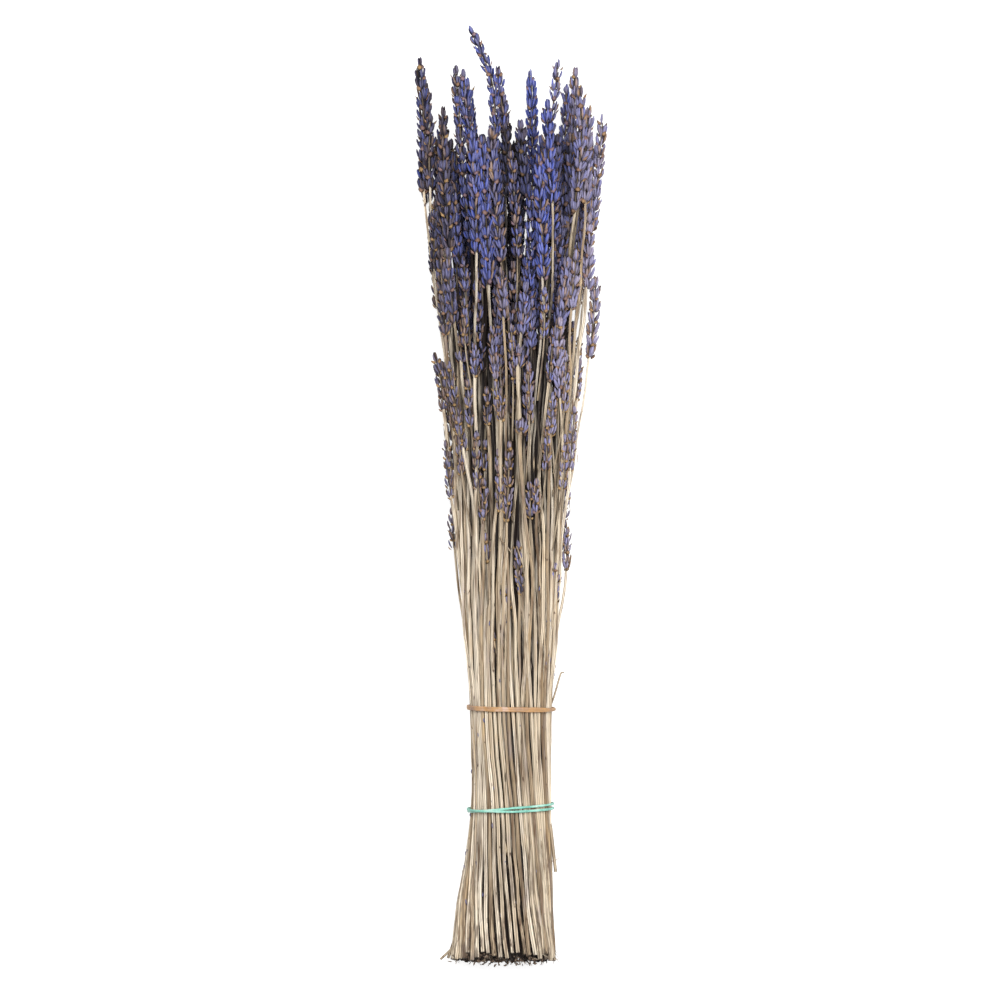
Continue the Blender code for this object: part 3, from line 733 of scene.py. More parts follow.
# %% Straw and shreds
GRIMY_STATION = 25.0
CLEAN_STATION = 85.0
straw_finish = Finish("straw_stem", {"Specular IOR Level": 0.3})
tone = straw_finish.painted("tone")
ridge = straw_finish.painted("ridge")
shade = straw_finish.painted("shade")
streaks = straw_finish.grain(520.0, (1, 0.035, 1), 3.0, shift=40.0 * tone)
blotches = straw_finish.grain(110.0, (1, 0.3, 1), 3.0, shift=25.0 * tone)
specks = straw_finish.grain(420.0, (1, 0.4, 1), 2.0, shift=70.0 * tone)
straw_colour = straw_finish.ramp(
    straw_finish.clamped(tone + 0.45 * (blotches - 0.5), 0.0, 1.0),
    (
        (0.0, paint(116, 96, 74)),
        (0.35, paint(178, 158, 131)),
        (0.7, paint(213, 197, 172)),
        (1.0, paint(235, 222, 201)),
    ),
)
gold = 0.45 * straw_finish.clamped(blotches, 0.56, 0.7)
golden = straw_finish.mix(straw_colour, paint(206, 172, 122), gold)
grey = 0.45 * straw_finish.clamped(1 - blotches, 0.56, 0.7)
greyed = straw_finish.mix(golden, paint(164, 154, 154), grey)
# The grooves are darker brown, partly the straw's own colour and partly painted shade.
grooved = straw_finish.mix(paint(80, 64, 50), greyed, straw_finish.clamped(ridge, -0.25, 0.6))
streaked = straw_finish.mix(grooved, paint(106, 84, 64), straw_finish.clamped(streaks, 0.5, 0.72))
spotted = straw_finish.mix(streaked, paint(84, 64, 52), straw_finish.clamped(specks, 0.68, 0.74))
grime = straw_finish.clamped(straw_finish.grain(420.0, (1, 0.14, 1), 4.0, shift=90.0 * tone), 0.52, 0.6)
along_bunch = straw_finish.node("SeparateXYZ", {}, {0: straw_finish.node("TexCoord", {}, {}, "Object")}, "Y")
grimy_from, clean_from = ((station + ORIGIN[1]) * MM for station in (GRIMY_STATION, CLEAN_STATION))
low = straw_finish.clamped(along_bunch, clean_from, grimy_from)
dirty = straw_finish.mix(spotted, paint(78, 62, 50), grime * (0.14 + 0.6 * low))
# Painted shade: the shade value, broken up a little by the streaks, takes the straw towards near black.
patchy = straw_finish.clamped(shade * (0.7 + straw_finish.clamped(streaks, 0.32, 0.68)), 0.0, 1.0)
straw_finish.set({"Base Color": straw_finish.mix(dirty, paint(28, 20, 16), patchy)})
straw_finish.set({"Roughness": 0.5 + 0.35 * streaks})
straw_finish.bump(streaks, 0.5, 0.0002)

shred_finish = Finish("dark_shreds", {"Roughness": 0.9, "Specular IOR Level": 0.2})
fibre = shred_finish.grain(700.0, (1, 0.2, 1), 2.0)
shred_finish.set({"Base Color": shred_finish.mix(paint(58, 46, 42), paint(136, 116, 98), fibre)})
shred_finish.bump(fibre, 0.5, 0.0002)

# %% [markdown]
# The bands are cut from rubber tube. Old rubber is dull, a little uneven in colour, and dusted where the
# stems rub it. One finish does for both, with its own colours.

# %% Rubber
def rubber(name, main, dark, pale):
    """A dull elastic band's finish, in three shades of one colour."""
    finish = Finish(name, {"Specular IOR Level": 0.4, "Subsurface Weight": 0.1, "Subsurface Scale": 0.002})
    finish.set({"Subsurface Radius": (1.0, 0.6, 0.4)})
    cloud = finish.grain(110.0, (1, 1, 1), 3.0)
    dust_and_shade = finish.grain(1100.0, (1, 1, 1), 2.0)
    shade = finish.mix(dark, main, finish.clamped(cloud, 0.3, 0.55))
    worn = 0.4 * finish.clamped(dust_and_shade, 0.5, 0.8) + 0.6 * finish.clamped(cloud, 0.54, 0.64)
    finish.set({"Base Color": finish.mix(shade, pale, worn)})
    finish.set({"Roughness": 0.4 + 0.3 * dust_and_shade})
    finish.bump(cloud + 0.4 * dust_and_shade, 0.5, 0.0002)
    return finish


tan_rubber = rubber("tan_rubber", paint(176, 134, 86), paint(134, 106, 90), paint(192, 168, 158))
green_rubber = rubber("green_rubber", paint(126, 188, 170), paint(94, 158, 146), paint(190, 218, 206))
print("finishes:", [m.name for m in bpy.data.materials])

# %% [markdown]
# ## Many small shapes in one mesh
#
# The bunch has thousands of calyces. As objects of their own they would be unwieldy, and as instances they
# couldn't be exported, so each flower head becomes one mesh. A small shape is drawn once as a template:
# each of its corners says how far along, out and sideways it is. Copies of it are then placed all at once.
# Every copy also gets its own tile on the mesh's UV map, so that a texture can be baked for it without
# seams between neighbours.

# %% The template and the heap
class Template:
    """A small shape: its corners in its own directions, its faces, and where their corners lie in a tile."""

    def __init__(self, corners, faces, tile, ridge=None):
        self.corners = np.array(corners, dtype=float)
        self.ridge = np.zeros(len(corners)) if ridge is None else np.array(ridge, dtype=float)
        self.loops = np.concatenate([np.array(face) for face in faces])
        self.sizes = np.array([len(face) for face in faces])
        self.tile = np.concatenate([np.array(places, dtype=float) for places in tile])


class Heap:
    """Copies of small shapes that become one mesh. Points are (x, station, z) in millimetres."""

    def __init__(self, finishes, painted):
        self.finishes = finishes
        self.values = {name: [] for name in painted}
        self.points = []
        self.loops = []
        self.sizes = []
        self.slots = []
        self.tiles = []
        self.count = 0

    def add(self, shape, points, slot=0, **values):
        """Adds copies of a shape. points has one row of corners for each copy."""
        copies, corners = points.shape[:2]
        first = self.count + corners * np.arange(copies)[:, None]
        self.points.append(points.reshape(-1, 3))
        self.loops.append((shape.loops[None] + first).ravel())
        self.sizes.append(np.tile(shape.sizes, copies))
        self.slots.append(np.full(copies * len(shape.sizes), slot))
        self.tiles.append(np.broadcast_to(shape.tile, (copies, *shape.tile.shape)))
        for name, kept in self.values.items():
            kept.append(np.broadcast_to(values.get(name, 0.0), (copies, corners)).ravel())
        self.count += copies * corners

    def uv(self, columns):
        """The tiles side by side, columns of them across the map, or one row of them if columns is None."""
        copies = sum(len(block) for block in self.tiles)
        columns = columns or copies
        rows = math.ceil(copies / columns)
        placed = []
        number = 0
        for block in self.tiles:
            index = number + np.arange(len(block))
            corner = np.stack((index % columns, index // columns), axis=1)[:, None]
            placed.append(((0.06 + 0.88 * block + corner) / (columns, rows)).reshape(-1, 2))
            number += len(block)
        return np.concatenate(placed)

    def make(self, name, slot, replaced=(), soft_shading=True, columns=None):
        """Makes the piece and gives it to the frame."""
        points = (np.concatenate(self.points) + ORIGIN) * MM
        points = np.clip(points, np.array(cad_box[0]), np.array(cad_box[1]))
        loops = np.concatenate(self.loops)
        sizes = np.concatenate(self.sizes)
        mesh = bpy.data.meshes.new(name)
        mesh.vertices.add(len(points))
        mesh.vertices.foreach_set("co", points.astype(np.float32).ravel())
        mesh.loops.add(len(loops))
        mesh.loops.foreach_set("vertex_index", loops.astype(np.int32))
        mesh.polygons.add(len(sizes))
        mesh.polygons.foreach_set("loop_start", (np.cumsum(sizes) - sizes).astype(np.int32))
        mesh.polygons.foreach_set("material_index", np.concatenate(self.slots).astype(np.int32))
        mesh.polygons.foreach_set("use_smooth", np.full(len(sizes), soft_shading))
        for value_name, kept in self.values.items():
            layer = mesh.attributes.new(value_name, "FLOAT", "POINT")
            layer.data.foreach_set("value", np.concatenate(kept).astype(np.float32))
        mesh.update(calc_edges=True)
        uv_map = mesh.uv_layers.new(name="OFBake")
        uv_map.uv.foreach_set("vector", self.uv(columns).astype(np.float32).ravel())
        for finish in self.finishes:
            mesh.materials.append(finish.material)
        piece = bpy.data.objects.new(name, mesh)
        bpy.context.scene.collection.objects.link(piece)
        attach(piece, "root")
        if replaced:
            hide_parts(*replaced)
        self.triangles = int((sizes - 2).sum())
        return piece


def place(shape, base, way, out, length, width, bulge):
    """Corners of a template's copies. Each starts at base, runs along way, and turns its face towards out."""
    along, outward, sideways = shape.corners.T
    side = np.cross(way, out)
    bowed = 4 * along * (1 - along)
    return (
        base[:, None]
        + way[:, None] * (length[:, None] * along)[..., None]
        + out[:, None] * (width[:, None] * outward + bulge[:, None] * bowed)[..., None]
        + side[:, None] * (width[:, None] * sideways)[..., None]
    )


# %% [markdown]
# ## Calyx and bract
#
# A calyx swells from its stalk to a belly, narrows at the mouth and ends in small teeth. Ribs run along it.
# Six sides with every other one drawn in give three ribs, which is enough at this size. A bract is a broad
# pointed scale, thin but closed, cupped round the foot of its whorl.

# %% Draw the templates once
def calyx_shape(sides, rings, teeth):
    """A closed tube from a point at its stalk, through rings (along, radius), to the floor of its mouth.

    Its ridge value is 1 on the crest that faces out and 0 at the back.
    """
    corners = [(0.0, 0.0, 0.0)]
    ridge = [0.3]
    for number, (along, radius) in enumerate(rings):
        for k in range(sides):
            angle = 2 * math.pi * k / sides
            rib = 1.0 if k % 2 == 0 else 0.78
            ridge.append((0.5 + 0.5 * math.cos(angle)) ** 1.5)
            tooth = teeth if number == len(rings) - 1 and k % 2 else 0.0
            corners.append((along - tooth, rib * radius * math.cos(angle), rib * radius * math.sin(angle)))
    floor = len(corners)
    corners.append((rings[-1][0] - 1.6 * teeth, 0.0, 0.0))
    ridge.append(0.3)
    faces, tile = [], []
    heights = [0.0] + [along for along, _ in rings]
    for k in range(sides):
        after = (k + 1) % sides
        left, right = k / sides, (k + 1) / sides
        faces.append((0, 1 + after, 1 + k))
        tile.append((((left + right) / 2, 0.0), (right, heights[1]), (left, heights[1])))
        for number in range(len(rings) - 1):
            low, high = 1 + number * sides, 1 + (number + 1) * sides
            faces.append((low + k, low + after, high + after, high + k))
            bottom, top = heights[number + 1] * 0.9, heights[number + 2] * 0.9
            tile.append(((left, bottom), (right, bottom), (right, top), (left, top)))
        last = 1 + (len(rings) - 1) * sides
        faces.append((last + k, last + after, floor))
        tile.append(((left, 0.9), (right, 0.9), ((left + right) / 2, 1.0)))
    return Template(corners, faces, tile, ridge)


def bract_shape():
    """A pointed scale with a front and a back, 1 long and 1 wide, cupped at its edges."""
    rim = [(0.0, 0.0), (0.28, 0.42), (0.58, 0.5), (1.0, 0.0), (0.58, -0.5), (0.28, -0.42)]
    corners = [(along, -0.5 * across * across, across) for along, across in rim]
    corners += [(0.48, 0.16, 0.0), (0.48, 0.04, 0.0)]
    faces, tile = [], []
    for k in range(len(rim)):
        after = (k + 1) % len(rim)
        for centre, first, second, start in ((6, k, after, 0.0), (7, after, k, 0.5)):
            faces.append((centre, first, second))
            flat = ((0.48, 0.0), rim[first], rim[second])
            tile.append([(start + 0.25 + 0.5 * across, along) for along, across in flat])
    return Template(corners, faces, tile)


CALYX = calyx_shape(6, ((0.12, 0.48), (0.48, 1.0), (0.82, 0.82), (1.0, 0.3)), 0.06)
PLAIN_CALYX = calyx_shape(5, ((0.4, 0.95), (0.9, 0.6)), 0.0)
BRACT = bract_shape()
triangles = [int((shape.sizes - 2).sum()) for shape in (CALYX, PLAIN_CALYX, BRACT)]
print("triangles of a calyx, a plain one and a bract:", triangles)

# %% [markdown]
# ## Flower heads
#
# A head is a stack of whorls. Each whorl is two tufts facing each other, with a bract under each, and the
# next pair stands a quarter turn round. The calyces lean out and curve up again. Dense heads in the middle
# of the bunch have twelve calyces to a whorl. The small heads lower down have fewer, slimmer and browner
# ones, and the tallest tips are loose enough to show the stalk between whorls.

# %% How fresh and how dense a head is
# Heads are bluest left and right of the middle. Those at the edges are greyer.
FRESH_ACROSS = (-54, -46, -38, -30, -22, -12, -6, 2, 10, 20, 28, 38, 54)
FRESHNESS = (0.56, 0.42, 0.4, 0.72, 0.86, 0.86, 0.5, 0.56, 1.04, 1.04, 0.72, 0.52, 0.44)
# Painted shade: heads at the left edge of the bunch are darker.
SHADED_ACROSS = (-54, -40, -28, 54)
EDGE_SHADE = (0.46, 0.42, 0.18, 0.0)
BLEACHED_STATION = (200, 330, 400, 440)
BLEACHING = (0.5, 0.48, 0.22, 0.0)
BLEACHED_ACROSS = (4, 24, 44)
MORE_BLEACHING = (0.0, 0.1, 0.4)
DRIED_STATION = (330, 400, 440)
DRIED_SHARE = (0.24, 0.12, 0.07)
DIMMED_IF_SHOWN = 0.62
SMALL_GIRTH = 3.3
USUAL_GIRTH = 4.2
WHORL_PITCH = {"dense": 5.9, "loose": 5.5, "small": 5.0}
BRACT_LENGTH = 4.3
BRACT_WIDTH = 3.2
CALYX_LENGTH = 7.2
CALYX_RADIUS = 0.86
TUFT = {"dense": (-80, -48, -16, 16, 48, 80), "loose": (-70, -35, 0, 35, 70), "small": (-58, 0, 58)}
TUFT_FOOT_SHARE = 0.4
UNSHADED_DEPTH = 1.5
DARK_DEPTH = 24.0
TIPS_FREE_FROM = 482.0


def crown_width(share):
    """A whorl's radius as a share of the girth: widest low on the head, and narrower at the tip."""
    return np.minimum(1.0, 0.82 + 0.7 * share) * (1 - 0.38 * share * share)


def freshness_of(spike):
    """From 0, dried to straw, to 1, violet blue. Tips and the lowest heads have aged more."""
    fresh = np.interp(spike["tip"][0], FRESH_ACROSS, FRESHNESS)
    low = np.interp(spike["tip_station"], (200, 330, 400), (0.55, 0.62, 1.0))
    return fresh * low


def whorl_places(line, stations):
    """Points, directions and cross directions at a head's whorls."""
    around = smooth(line, np.stack((stations - 2, stations, stations + 2), axis=1).ravel())
    around = around.reshape(len(stations), 3, 3)
    way = unit(around[:, 2] - around[:, 0])
    out = unit(np.array((0.0, 0.0, 1.0)) - way * way[:, 2:])
    return around[:, 1], way, out, np.cross(way, out)


def shade_at(points):
    """How much painted shade points (x, station, z) get. The deeper inside the bunch they lie, the darker."""
    half_width, half_depth, middle, lean = outline(points[..., 1])
    out = np.hypot((points[..., 0] - lean) / half_width, (points[..., 2] - middle) / half_depth)
    depth = (1 - out) * half_depth
    among_others = np.clip((TIPS_FREE_FROM - points[..., 1]) / 30, 0, 1)
    return 0.95 * np.clip((depth - UNSHADED_DEPTH) / DARK_DEPTH, 0, 1) ** 1.5 * among_others


def grow_head(heap, spike, line, rng, shape, kind):
    """Adds one flower head to a heap: its whorls of calyces and their bracts."""
    small = spike["girth"] < SMALL_GIRTH
    habit = "small" if small else kind
    size = float(np.clip(spike["girth"] / USUAL_GIRTH, 0.74, 1.06))
    full_length = CALYX_LENGTH * size * (0.95 if kind == "loose" else 1.0)
    run = spike["tip_station"] - spike["base_station"] - full_length
    count = max(2, round(run / WHORL_PITCH[habit]) + 1)
    stations = spike["base_station"] + run * np.arange(count) / (count - 1)
    centre, way, out, side = whorl_places(line, stations)
    fresh = freshness_of(spike)
    tuft = np.radians(TUFT[habit])
    cyme = rng.uniform(0, math.pi) + np.arange(count) * math.pi / 2 + rng.normal(0, 0.16, count)
    cyme = (cyme[:, None] + np.array((0.0, math.pi))[None]).ravel()

    def radial(level, angle):
        return out[level] * np.cos(angle)[:, None] + side[level] * np.sin(angle)[:, None]

    level = np.repeat(np.arange(count), 2 * len(tuft))
    middle = np.repeat(cyme, len(tuft))
    offset = np.tile(tuft, 2 * count)
    last = level == count - 1
    keep = rng.random(len(level)) > np.where(last, 0.1 if small else 0.45, 0.1)
    level, middle, offset, last = level[keep], middle[keep], offset[keep], last[keep]
    many = len(level)
    foot = 0.7 + 0.08 * spike["girth"]
    foot_way = radial(level, middle + TUFT_FOOT_SHARE * offset)
    tip_way = radial(level, middle + offset + rng.normal(0, 0.2, many))
    share = (level + 0.5) / count
    reach = spike["girth"] * crown_width(share) * rng.uniform(0.66, 1.16, many) - 0.3 * CALYX_RADIUS
    reach = np.where(last, 0.36, 1.0) * reach
    aside = tip_way * reach[:, None] - foot_way * (foot * np.where(last, 0.5, 1.0))[:, None]
    length = full_length * np.where(last, rng.uniform(0.6, 1.05, many), rng.uniform(0.84, 1.1, many))
    length[np.flatnonzero(last)[:1]] = full_length
    height = np.where(level == 0, rng.uniform(-0.2, 1.2, many), rng.uniform(-1.3, 1.3, many))
    across = np.minimum(np.linalg.norm(aside, axis=1), 0.8 * length)
    aside = unit(aside) * across[:, None]
    rise = np.sqrt(length**2 - across**2)
    rise = np.where(last, np.minimum(rise, full_length - np.maximum(height, 0.0)), rise)
    height = np.where(last, np.maximum(height, 0.0), height)
    base = centre[level] + foot_way * (foot * np.where(last, 0.5, 1.0))[:, None]
    base = base + way[level] * height[:, None]
    runs = way[level] * rise[:, None] + aside
    length = np.linalg.norm(runs, axis=1)
    runs = unit(runs)
    faces_out = unit(tip_way - runs * (tip_way * runs).sum(axis=1)[:, None])
    width = CALYX_RADIUS * size * rng.uniform(0.74, 1.16, many)
    dried = float(np.interp(spike["tip_station"], DRIED_STATION, DRIED_SHARE))
    ages = np.clip(fresh + rng.normal(0, 0.14 + 0.3 * dried, many) - np.where(last, 0.2, 0.0), 0.06, 1)
    ages = np.where(rng.random(many) < dried, 0.04, ages)
    corners = place(shape, base, runs, faces_out, length, width, rng.uniform(0.1, 0.5, many))
    # Painted shade: besides the depth, heads at the left edge are darker, and each calyx gets a random extra
    # darkness that deepens the gaps between calyces.
    dust_and_shade = np.interp(spike["tip"][0], SHADED_ACROSS, EDGE_SHADE) + rng.exponential(0.14, many)
    dimming = DIMMED_IF_SHOWN if spike["shown"] else 1.0
    shades = np.clip(dimming * shade_at(base + runs * length[:, None]) + dust_and_shade, 0, 0.92)[:, None]
    bleaching = np.interp(spike["tip_station"], BLEACHED_STATION, BLEACHING)
    bleaching = bleaching + np.interp(spike["tip"][0], BLEACHED_ACROSS, MORE_BLEACHING)
    bleaching = bleaching + rng.normal(0, 0.06, many)
    bleaching = np.clip(bleaching, 0, 1)[:, None]
    heap.add(shape, corners, 0, freshness=ages[:, None], along=shape.corners[:, 0][None],
             ridge=shape.ridge[None], shade=shades, tone=bleaching)

    level = np.repeat(np.arange(count), 2)
    many = 2 * count
    outward = radial(level, cyme + rng.normal(0, 0.12, many))
    runs = unit(way[level] + outward * rng.uniform(0.6, 0.9, many)[:, None])
    faces_out = unit(outward - runs * (outward * runs).sum(axis=1)[:, None])
    base = centre[level] + outward * (foot + 0.3 * size) + way[level] * rng.uniform(-1.2, -0.4, many)[:, None]
    length = BRACT_LENGTH * size * rng.uniform(0.75, 1.15, many)
    width = BRACT_WIDTH * size * rng.uniform(0.75, 1.15, many)
    ages = np.clip(fresh * 1.1 - (0.5 if small else 0.1) + rng.normal(0, 0.25, many), 0, 1)
    corners = place(BRACT, base, runs, faces_out, length, width, rng.uniform(0.0, 0.5, many))
    # Painted shade: by depth, and a little at random.
    shades = np.clip(shade_at(base + runs * length[:, None]) + rng.exponential(0.1, many), 0, 0.9)[:, None]
    heap.add(BRACT, corners, 1, freshness=ages[:, None], along=BRACT.corners[:, 0][None], shade=shades)


print("freshness of the first five heads:", [round(float(freshness_of(s)), 2) for s in spikes[:5]])

# %% [markdown]
# ## Stems
#
# A tube with eight corners makes a stem: four ribs at full width and four grooves drawn in. The width
# tapers from the cut end to the head, and a joint or two, where leaves once grew, swell it a little. The
# stalk that runs up through a head is the same tube, thinner.

# %% A ribbed tube along a line
GROOVE = 0.76


def tube_shape(rings, sides):
    """The faces of a tube with a fan at each end. Its corners come later, by rings, then both middles."""
    faces, tile = [], []
    first_middle, last_middle = rings * sides, rings * sides + 1
    for k in range(sides):
        after = (k + 1) % sides
        left, right = k / sides, (k + 1) / sides
        for ring in range(rings - 1):
            low, high = ring * sides, (ring + 1) * sides
            faces.append((low + k, low + after, high + after, high + k))
            bottom, top = 0.02 + 0.96 * ring / (rings - 1), 0.02 + 0.96 * (ring + 1) / (rings - 1)
            tile.append(((left, bottom), (right, bottom), (right, top), (left, top)))
        last = (rings - 1) * sides
        faces.append((k, first_middle, after))
        tile.append(((left, 0.02), ((left + right) / 2, 0.0), (right, 0.02)))
        faces.append((last + k, last + after, last_middle))
        tile.append(((left, 0.98), (right, 0.98), ((left + right) / 2, 1.0)))
    return Template([(0, 0, 0)], faces, tile)


TUBES = {}


def add_tube(heap, points, radius, slot=0, sides=8, face=0.0, twist=0.0, groove=GROOVE, **values):
    """Adds a ribbed tube along points, with a radius at each. face and twist turn its ribs."""
    rings = len(points)
    shape = TUBES.setdefault((rings, sides), tube_shape(rings, sides))
    way = directions(points)
    turn = face + twist * np.linspace(0, 1, rings)
    aim = np.stack((np.cos(turn), np.zeros(rings), np.sin(turn)), axis=1)
    out = unit(aim - way * (aim * way).sum(axis=1)[:, None])
    side = np.cross(way, out)
    angles = 2 * math.pi * np.arange(sides) / sides
    ribbed = np.where(np.arange(sides) % 2, groove, 1.0)
    offsets = out[:, None] * (ribbed * np.cos(angles))[None, :, None]
    offsets = offsets + side[:, None] * (ribbed * np.sin(angles))[None, :, None]
    corners = points[:, None] + offsets * np.asarray(radius)[:, None, None]
    corners = np.concatenate((corners.reshape(-1, 3), points[:1], points[-1:]))
    given = {}
    for name, value in values.items():
        rows = np.broadcast_to(value, (rings,))
        given[name] = np.concatenate((np.repeat(rows, sides), rows[:1], rows[-1:]))[None]
    given["ridge"] = np.concatenate((np.tile((np.arange(sides) + 1.0) % 2, rings), (0, 0)))[None]
    heap.add(shape, corners[None], slot, **given)


# %% [markdown]
# ## The heads that the model holds
#
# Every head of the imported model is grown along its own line, and it takes the place of its plain solid.
# Heads that share a node become one piece, so that each piece stands for a whole node. The stalk between
# the whorls shows where a head is loose.

# %% Build the flower heads, one piece for each node
HEAD_SEED = 100
LOOSE_TIPS_ABOVE = 478
HEAD_VALUES = ("freshness", "along", "ridge", "shade", "tone")
STALK_RINGS = 8
STALK_BELOW_TIP = 5


def head_heap():
    """An empty heap for calyces, bracts and stalks, in this order of finishes."""
    return Heap((calyx_finish, bract_finish, straw_finish), HEAD_VALUES)


heads = {}
rng = np.random.default_rng(HEAD_SEED)
for number, (spike, line) in enumerate(zip(spikes, lines)):
    node = node_of_group[group[number]]
    if node not in heads:
        heads[node] = head_heap()
    heap = heads[node]
    kind = "loose" if spike["tip_station"] > LOOSE_TIPS_ABOVE else "dense"
    grow_head(heap, spike, line, rng, CALYX, kind)
    stalk_end = spike["tip_station"] - STALK_BELOW_TIP
    stalk = smooth(line, np.linspace(spike["base_station"] + 0.5, stalk_end, STALK_RINGS))
    radius = np.linspace(0.62, 0.4, STALK_RINGS)
    # Painted shade: the stalk inside a head is darker, the more so the deeper it lies.
    add_tube(heap, stalk, radius, 2, sides=6, groove=0.85, tone=0.3, shade=0.55 + 0.4 * shade_at(stalk))
total = 0
for node, heap in heads.items():
    columns = math.ceil(math.sqrt(sum(len(block) for block in heap.tiles)))
    heap.make(node.replace("flower_spike", "lavender_head"), "lavender", (node,), True, columns)
    total += heap.triangles
print("pieces:", len(heads), "triangles:", total)

# %% [markdown]
# ## Heads deep inside
#
# Between the heads that the model holds there are more in the real bunch, seen only as dark shapes through
# the gaps. Without them the pale table would shine through. They get plainer calyces. The highest heads
# also go on down their stalks, into the bunch.

# %% Fill the middle of the bunch
FILLING_HEADS = 60
UPPER_FILLING_HEADS = 22
LOW_HEADS_BELOW = 26
LOWER_WHORLS_FROM = 439
MIDDLE_HEADS_BELOW = 6.0
# (tip across, tip station, base across, base station, girth radius)
MIDDLE_HEADS = ((0, 446, 3.5, 388, 3.6), (-15, 436, -13, 372, 3.6))
# (tip across, tip station, base across, base station)
TUCKED_HEADS = (
    (-14, 238, -13, 222),
    (-7, 284, -6, 250),
    (-19, 294, -18, 262),
    (10, 266, 10.5, 246),
    (9, 330, 10, 298),
    (-9, 330, -7, 302),
    (24.4, 222, 24, 200),
    (-4, 214, -2, 194),
    (-29, 302, -27, 270),
    (20, 300, 19, 272),
    (30, 292, 28, 262),
    (-24, 322, -22, 296),
    (30, 336, 29, 304),
    (0, 352, 1, 322),
    (-26, 366, -25, 340),
    (18, 372, 18, 344),
    (-10, 184, -8, 172),
)
STALK_BELOW_BASE = 34
HEADS_PER_UV_ROW = 90
inner_heads, upper_heads, low_heads = (head_heap() for _ in range(3))
rng = np.random.default_rng(HEAD_SEED + 1)


def add_inner_head(heap, base, tip, base_station, tip_station, girth, shape):
    """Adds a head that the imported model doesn't hold, from base to tip (x, z), on a stalk from inside."""
    spike = new_spike(base, tip, base_station, tip_station, girth, False)
    _, _, middle, lean = outline(base_station)
    root = (lean + 0.8 * (base[0] - lean), middle + 0.8 * (base[1] - middle))
    root_station = base_station - STALK_BELOW_BASE
    line = (np.array((root_station, base_station, tip_station)), np.array((root, base, tip)))
    grow_head(heap, spike, line, rng, shape, "loose")
    if shape is CALYX:
        stalk = smooth(line, np.linspace(root_station, tip_station - STALK_BELOW_TIP, STALK_RINGS))
        radius = np.linspace(0.6, 0.4, STALK_RINGS)
        # Painted shade: the stalk is darker, the more so the deeper it lies.
        add_tube(heap, stalk, radius, 2, sides=6, tone=0.5, shade=0.3 + 0.6 * shade_at(stalk))


def fill_with_head(heap, across, up, tip_station, shape):
    """Adds a head inside the bunch. across and up go from -1 to 1 on the outline."""
    base_station = tip_station - rng.uniform(48, 70)
    angle, share = math.atan2(up, across), math.hypot(across, up)
    base, tip = (on_outline(station, angle, share) for station in (base_station, tip_station))
    add_inner_head(heap, base, tip, base_station, tip_station, rng.uniform(3.6, 4.3), shape)


for number in range(FILLING_HEADS):
    angle = rng.uniform(0, 2 * math.pi)
    share = 0.66 * math.sqrt(rng.uniform(0, 1))
    across, up = share * math.cos(angle), share * math.sin(angle)
    fill_with_head(inner_heads, across, up, rng.uniform(340, 440), PLAIN_CALYX)
for number in range(UPPER_FILLING_HEADS):
    across = rng.uniform(-0.84, -0.05) if number % 2 else rng.uniform(0.36, 0.86)
    up = rng.uniform(-0.5, 0.62) * math.sqrt(1 - across * across)
    fill_with_head(upper_heads, across, up, rng.uniform(442, 461), CALYX)
for tip_x, tip_station, base_x, base_station, girth in MIDDLE_HEADS:
    ends = ((base_x, base_station), (tip_x, tip_station))
    ends = [on_top(x, station, girth + MIDDLE_HEADS_BELOW) for x, station in ends]
    add_inner_head(upper_heads, *ends, base_station, tip_station, girth, CALYX)
for tip_x, tip_station, base_x, base_station in TUCKED_HEADS:
    girth = rng.uniform(2.2, 2.8)
    ends = ((base_x, base_station), (tip_x, tip_station))
    ends = [on_top(x, station, girth + rng.uniform(0.0, 1.5)) for x, station in ends]
    add_inner_head(low_heads, *ends, base_station, tip_station, girth, CALYX)
for number in range(LOW_HEADS_BELOW):
    girth = rng.uniform(2.2, 2.8)
    angle = rng.uniform(*UNDERSIDE_ARC)
    base_station = rng.uniform(195, 320)
    tip_station = base_station + rng.uniform(16, 34)
    ends = [on_outline(station, angle, 1.0, girth + 0.8) for station in (base_station, tip_station)]
    add_inner_head(low_heads, *ends, base_station, tip_station, girth, CALYX)
for spike, line in zip(spikes, lines):
    if spike["shown"] and spike["base_station"] > LOWER_WHORLS_FROM:
        base, length = spike["base_station"], rng.uniform(36, 52)
        run_on = new_spike(line[1][-3], line[1][-3], base - length, base + 3, 0.94 * spike["girth"], False)
        grow_head(upper_heads, run_on, line, rng, CALYX, "dense")
for name, heap in (("inner_heads", inner_heads), ("upper_heads", upper_heads), ("low_heads", low_heads)):
    heap.make(name, "lavender", (), True, HEADS_PER_UV_ROW)
    print(name, "triangles:", heap.triangles)

# %% [markdown]
# ## The stems of the bunch
#
# Each head's own stem follows its line down to the cut end. A real bunch has many more than the model can
# hold, so others are laid between neighbours, a little further in, each halfway between two stems that
# already lie well. They thin out and sink into the bunch where their heads would be.

# %% Lay the stems
STEM_SEED = 200
BAND_STATIONS = (LOWER_BAND_STATION, UPPER_BAND_STATION)
TIED_STATIONS = (0.0, LYING_STATION, *BAND_STATIONS)
TWIST_STATIONS = (0.0, *BAND_STATIONS)
TWISTS = (0.66, 0.2, 0.0)
RING_STEP = 9.0
LOW_RING_STEP = 5.5
STEM_VALUES = ("tone", "ridge", "shade")


def stem_radius(stations, start_radius, rng, joints=2):
    """A stem's radius along it, with a taper and joints that swell it."""
    radius = start_radius * np.interp(stations, (0, 60, 150, 300, 450), (1.3, 1.12, 0.98, 0.88, 0.78))
    for _ in range(joints):
        joint = rng.uniform(12, 175)
        radius = radius * (1 + 0.22 * np.exp(-(((stations - joint) / 2.5) ** 2)))
    return radius


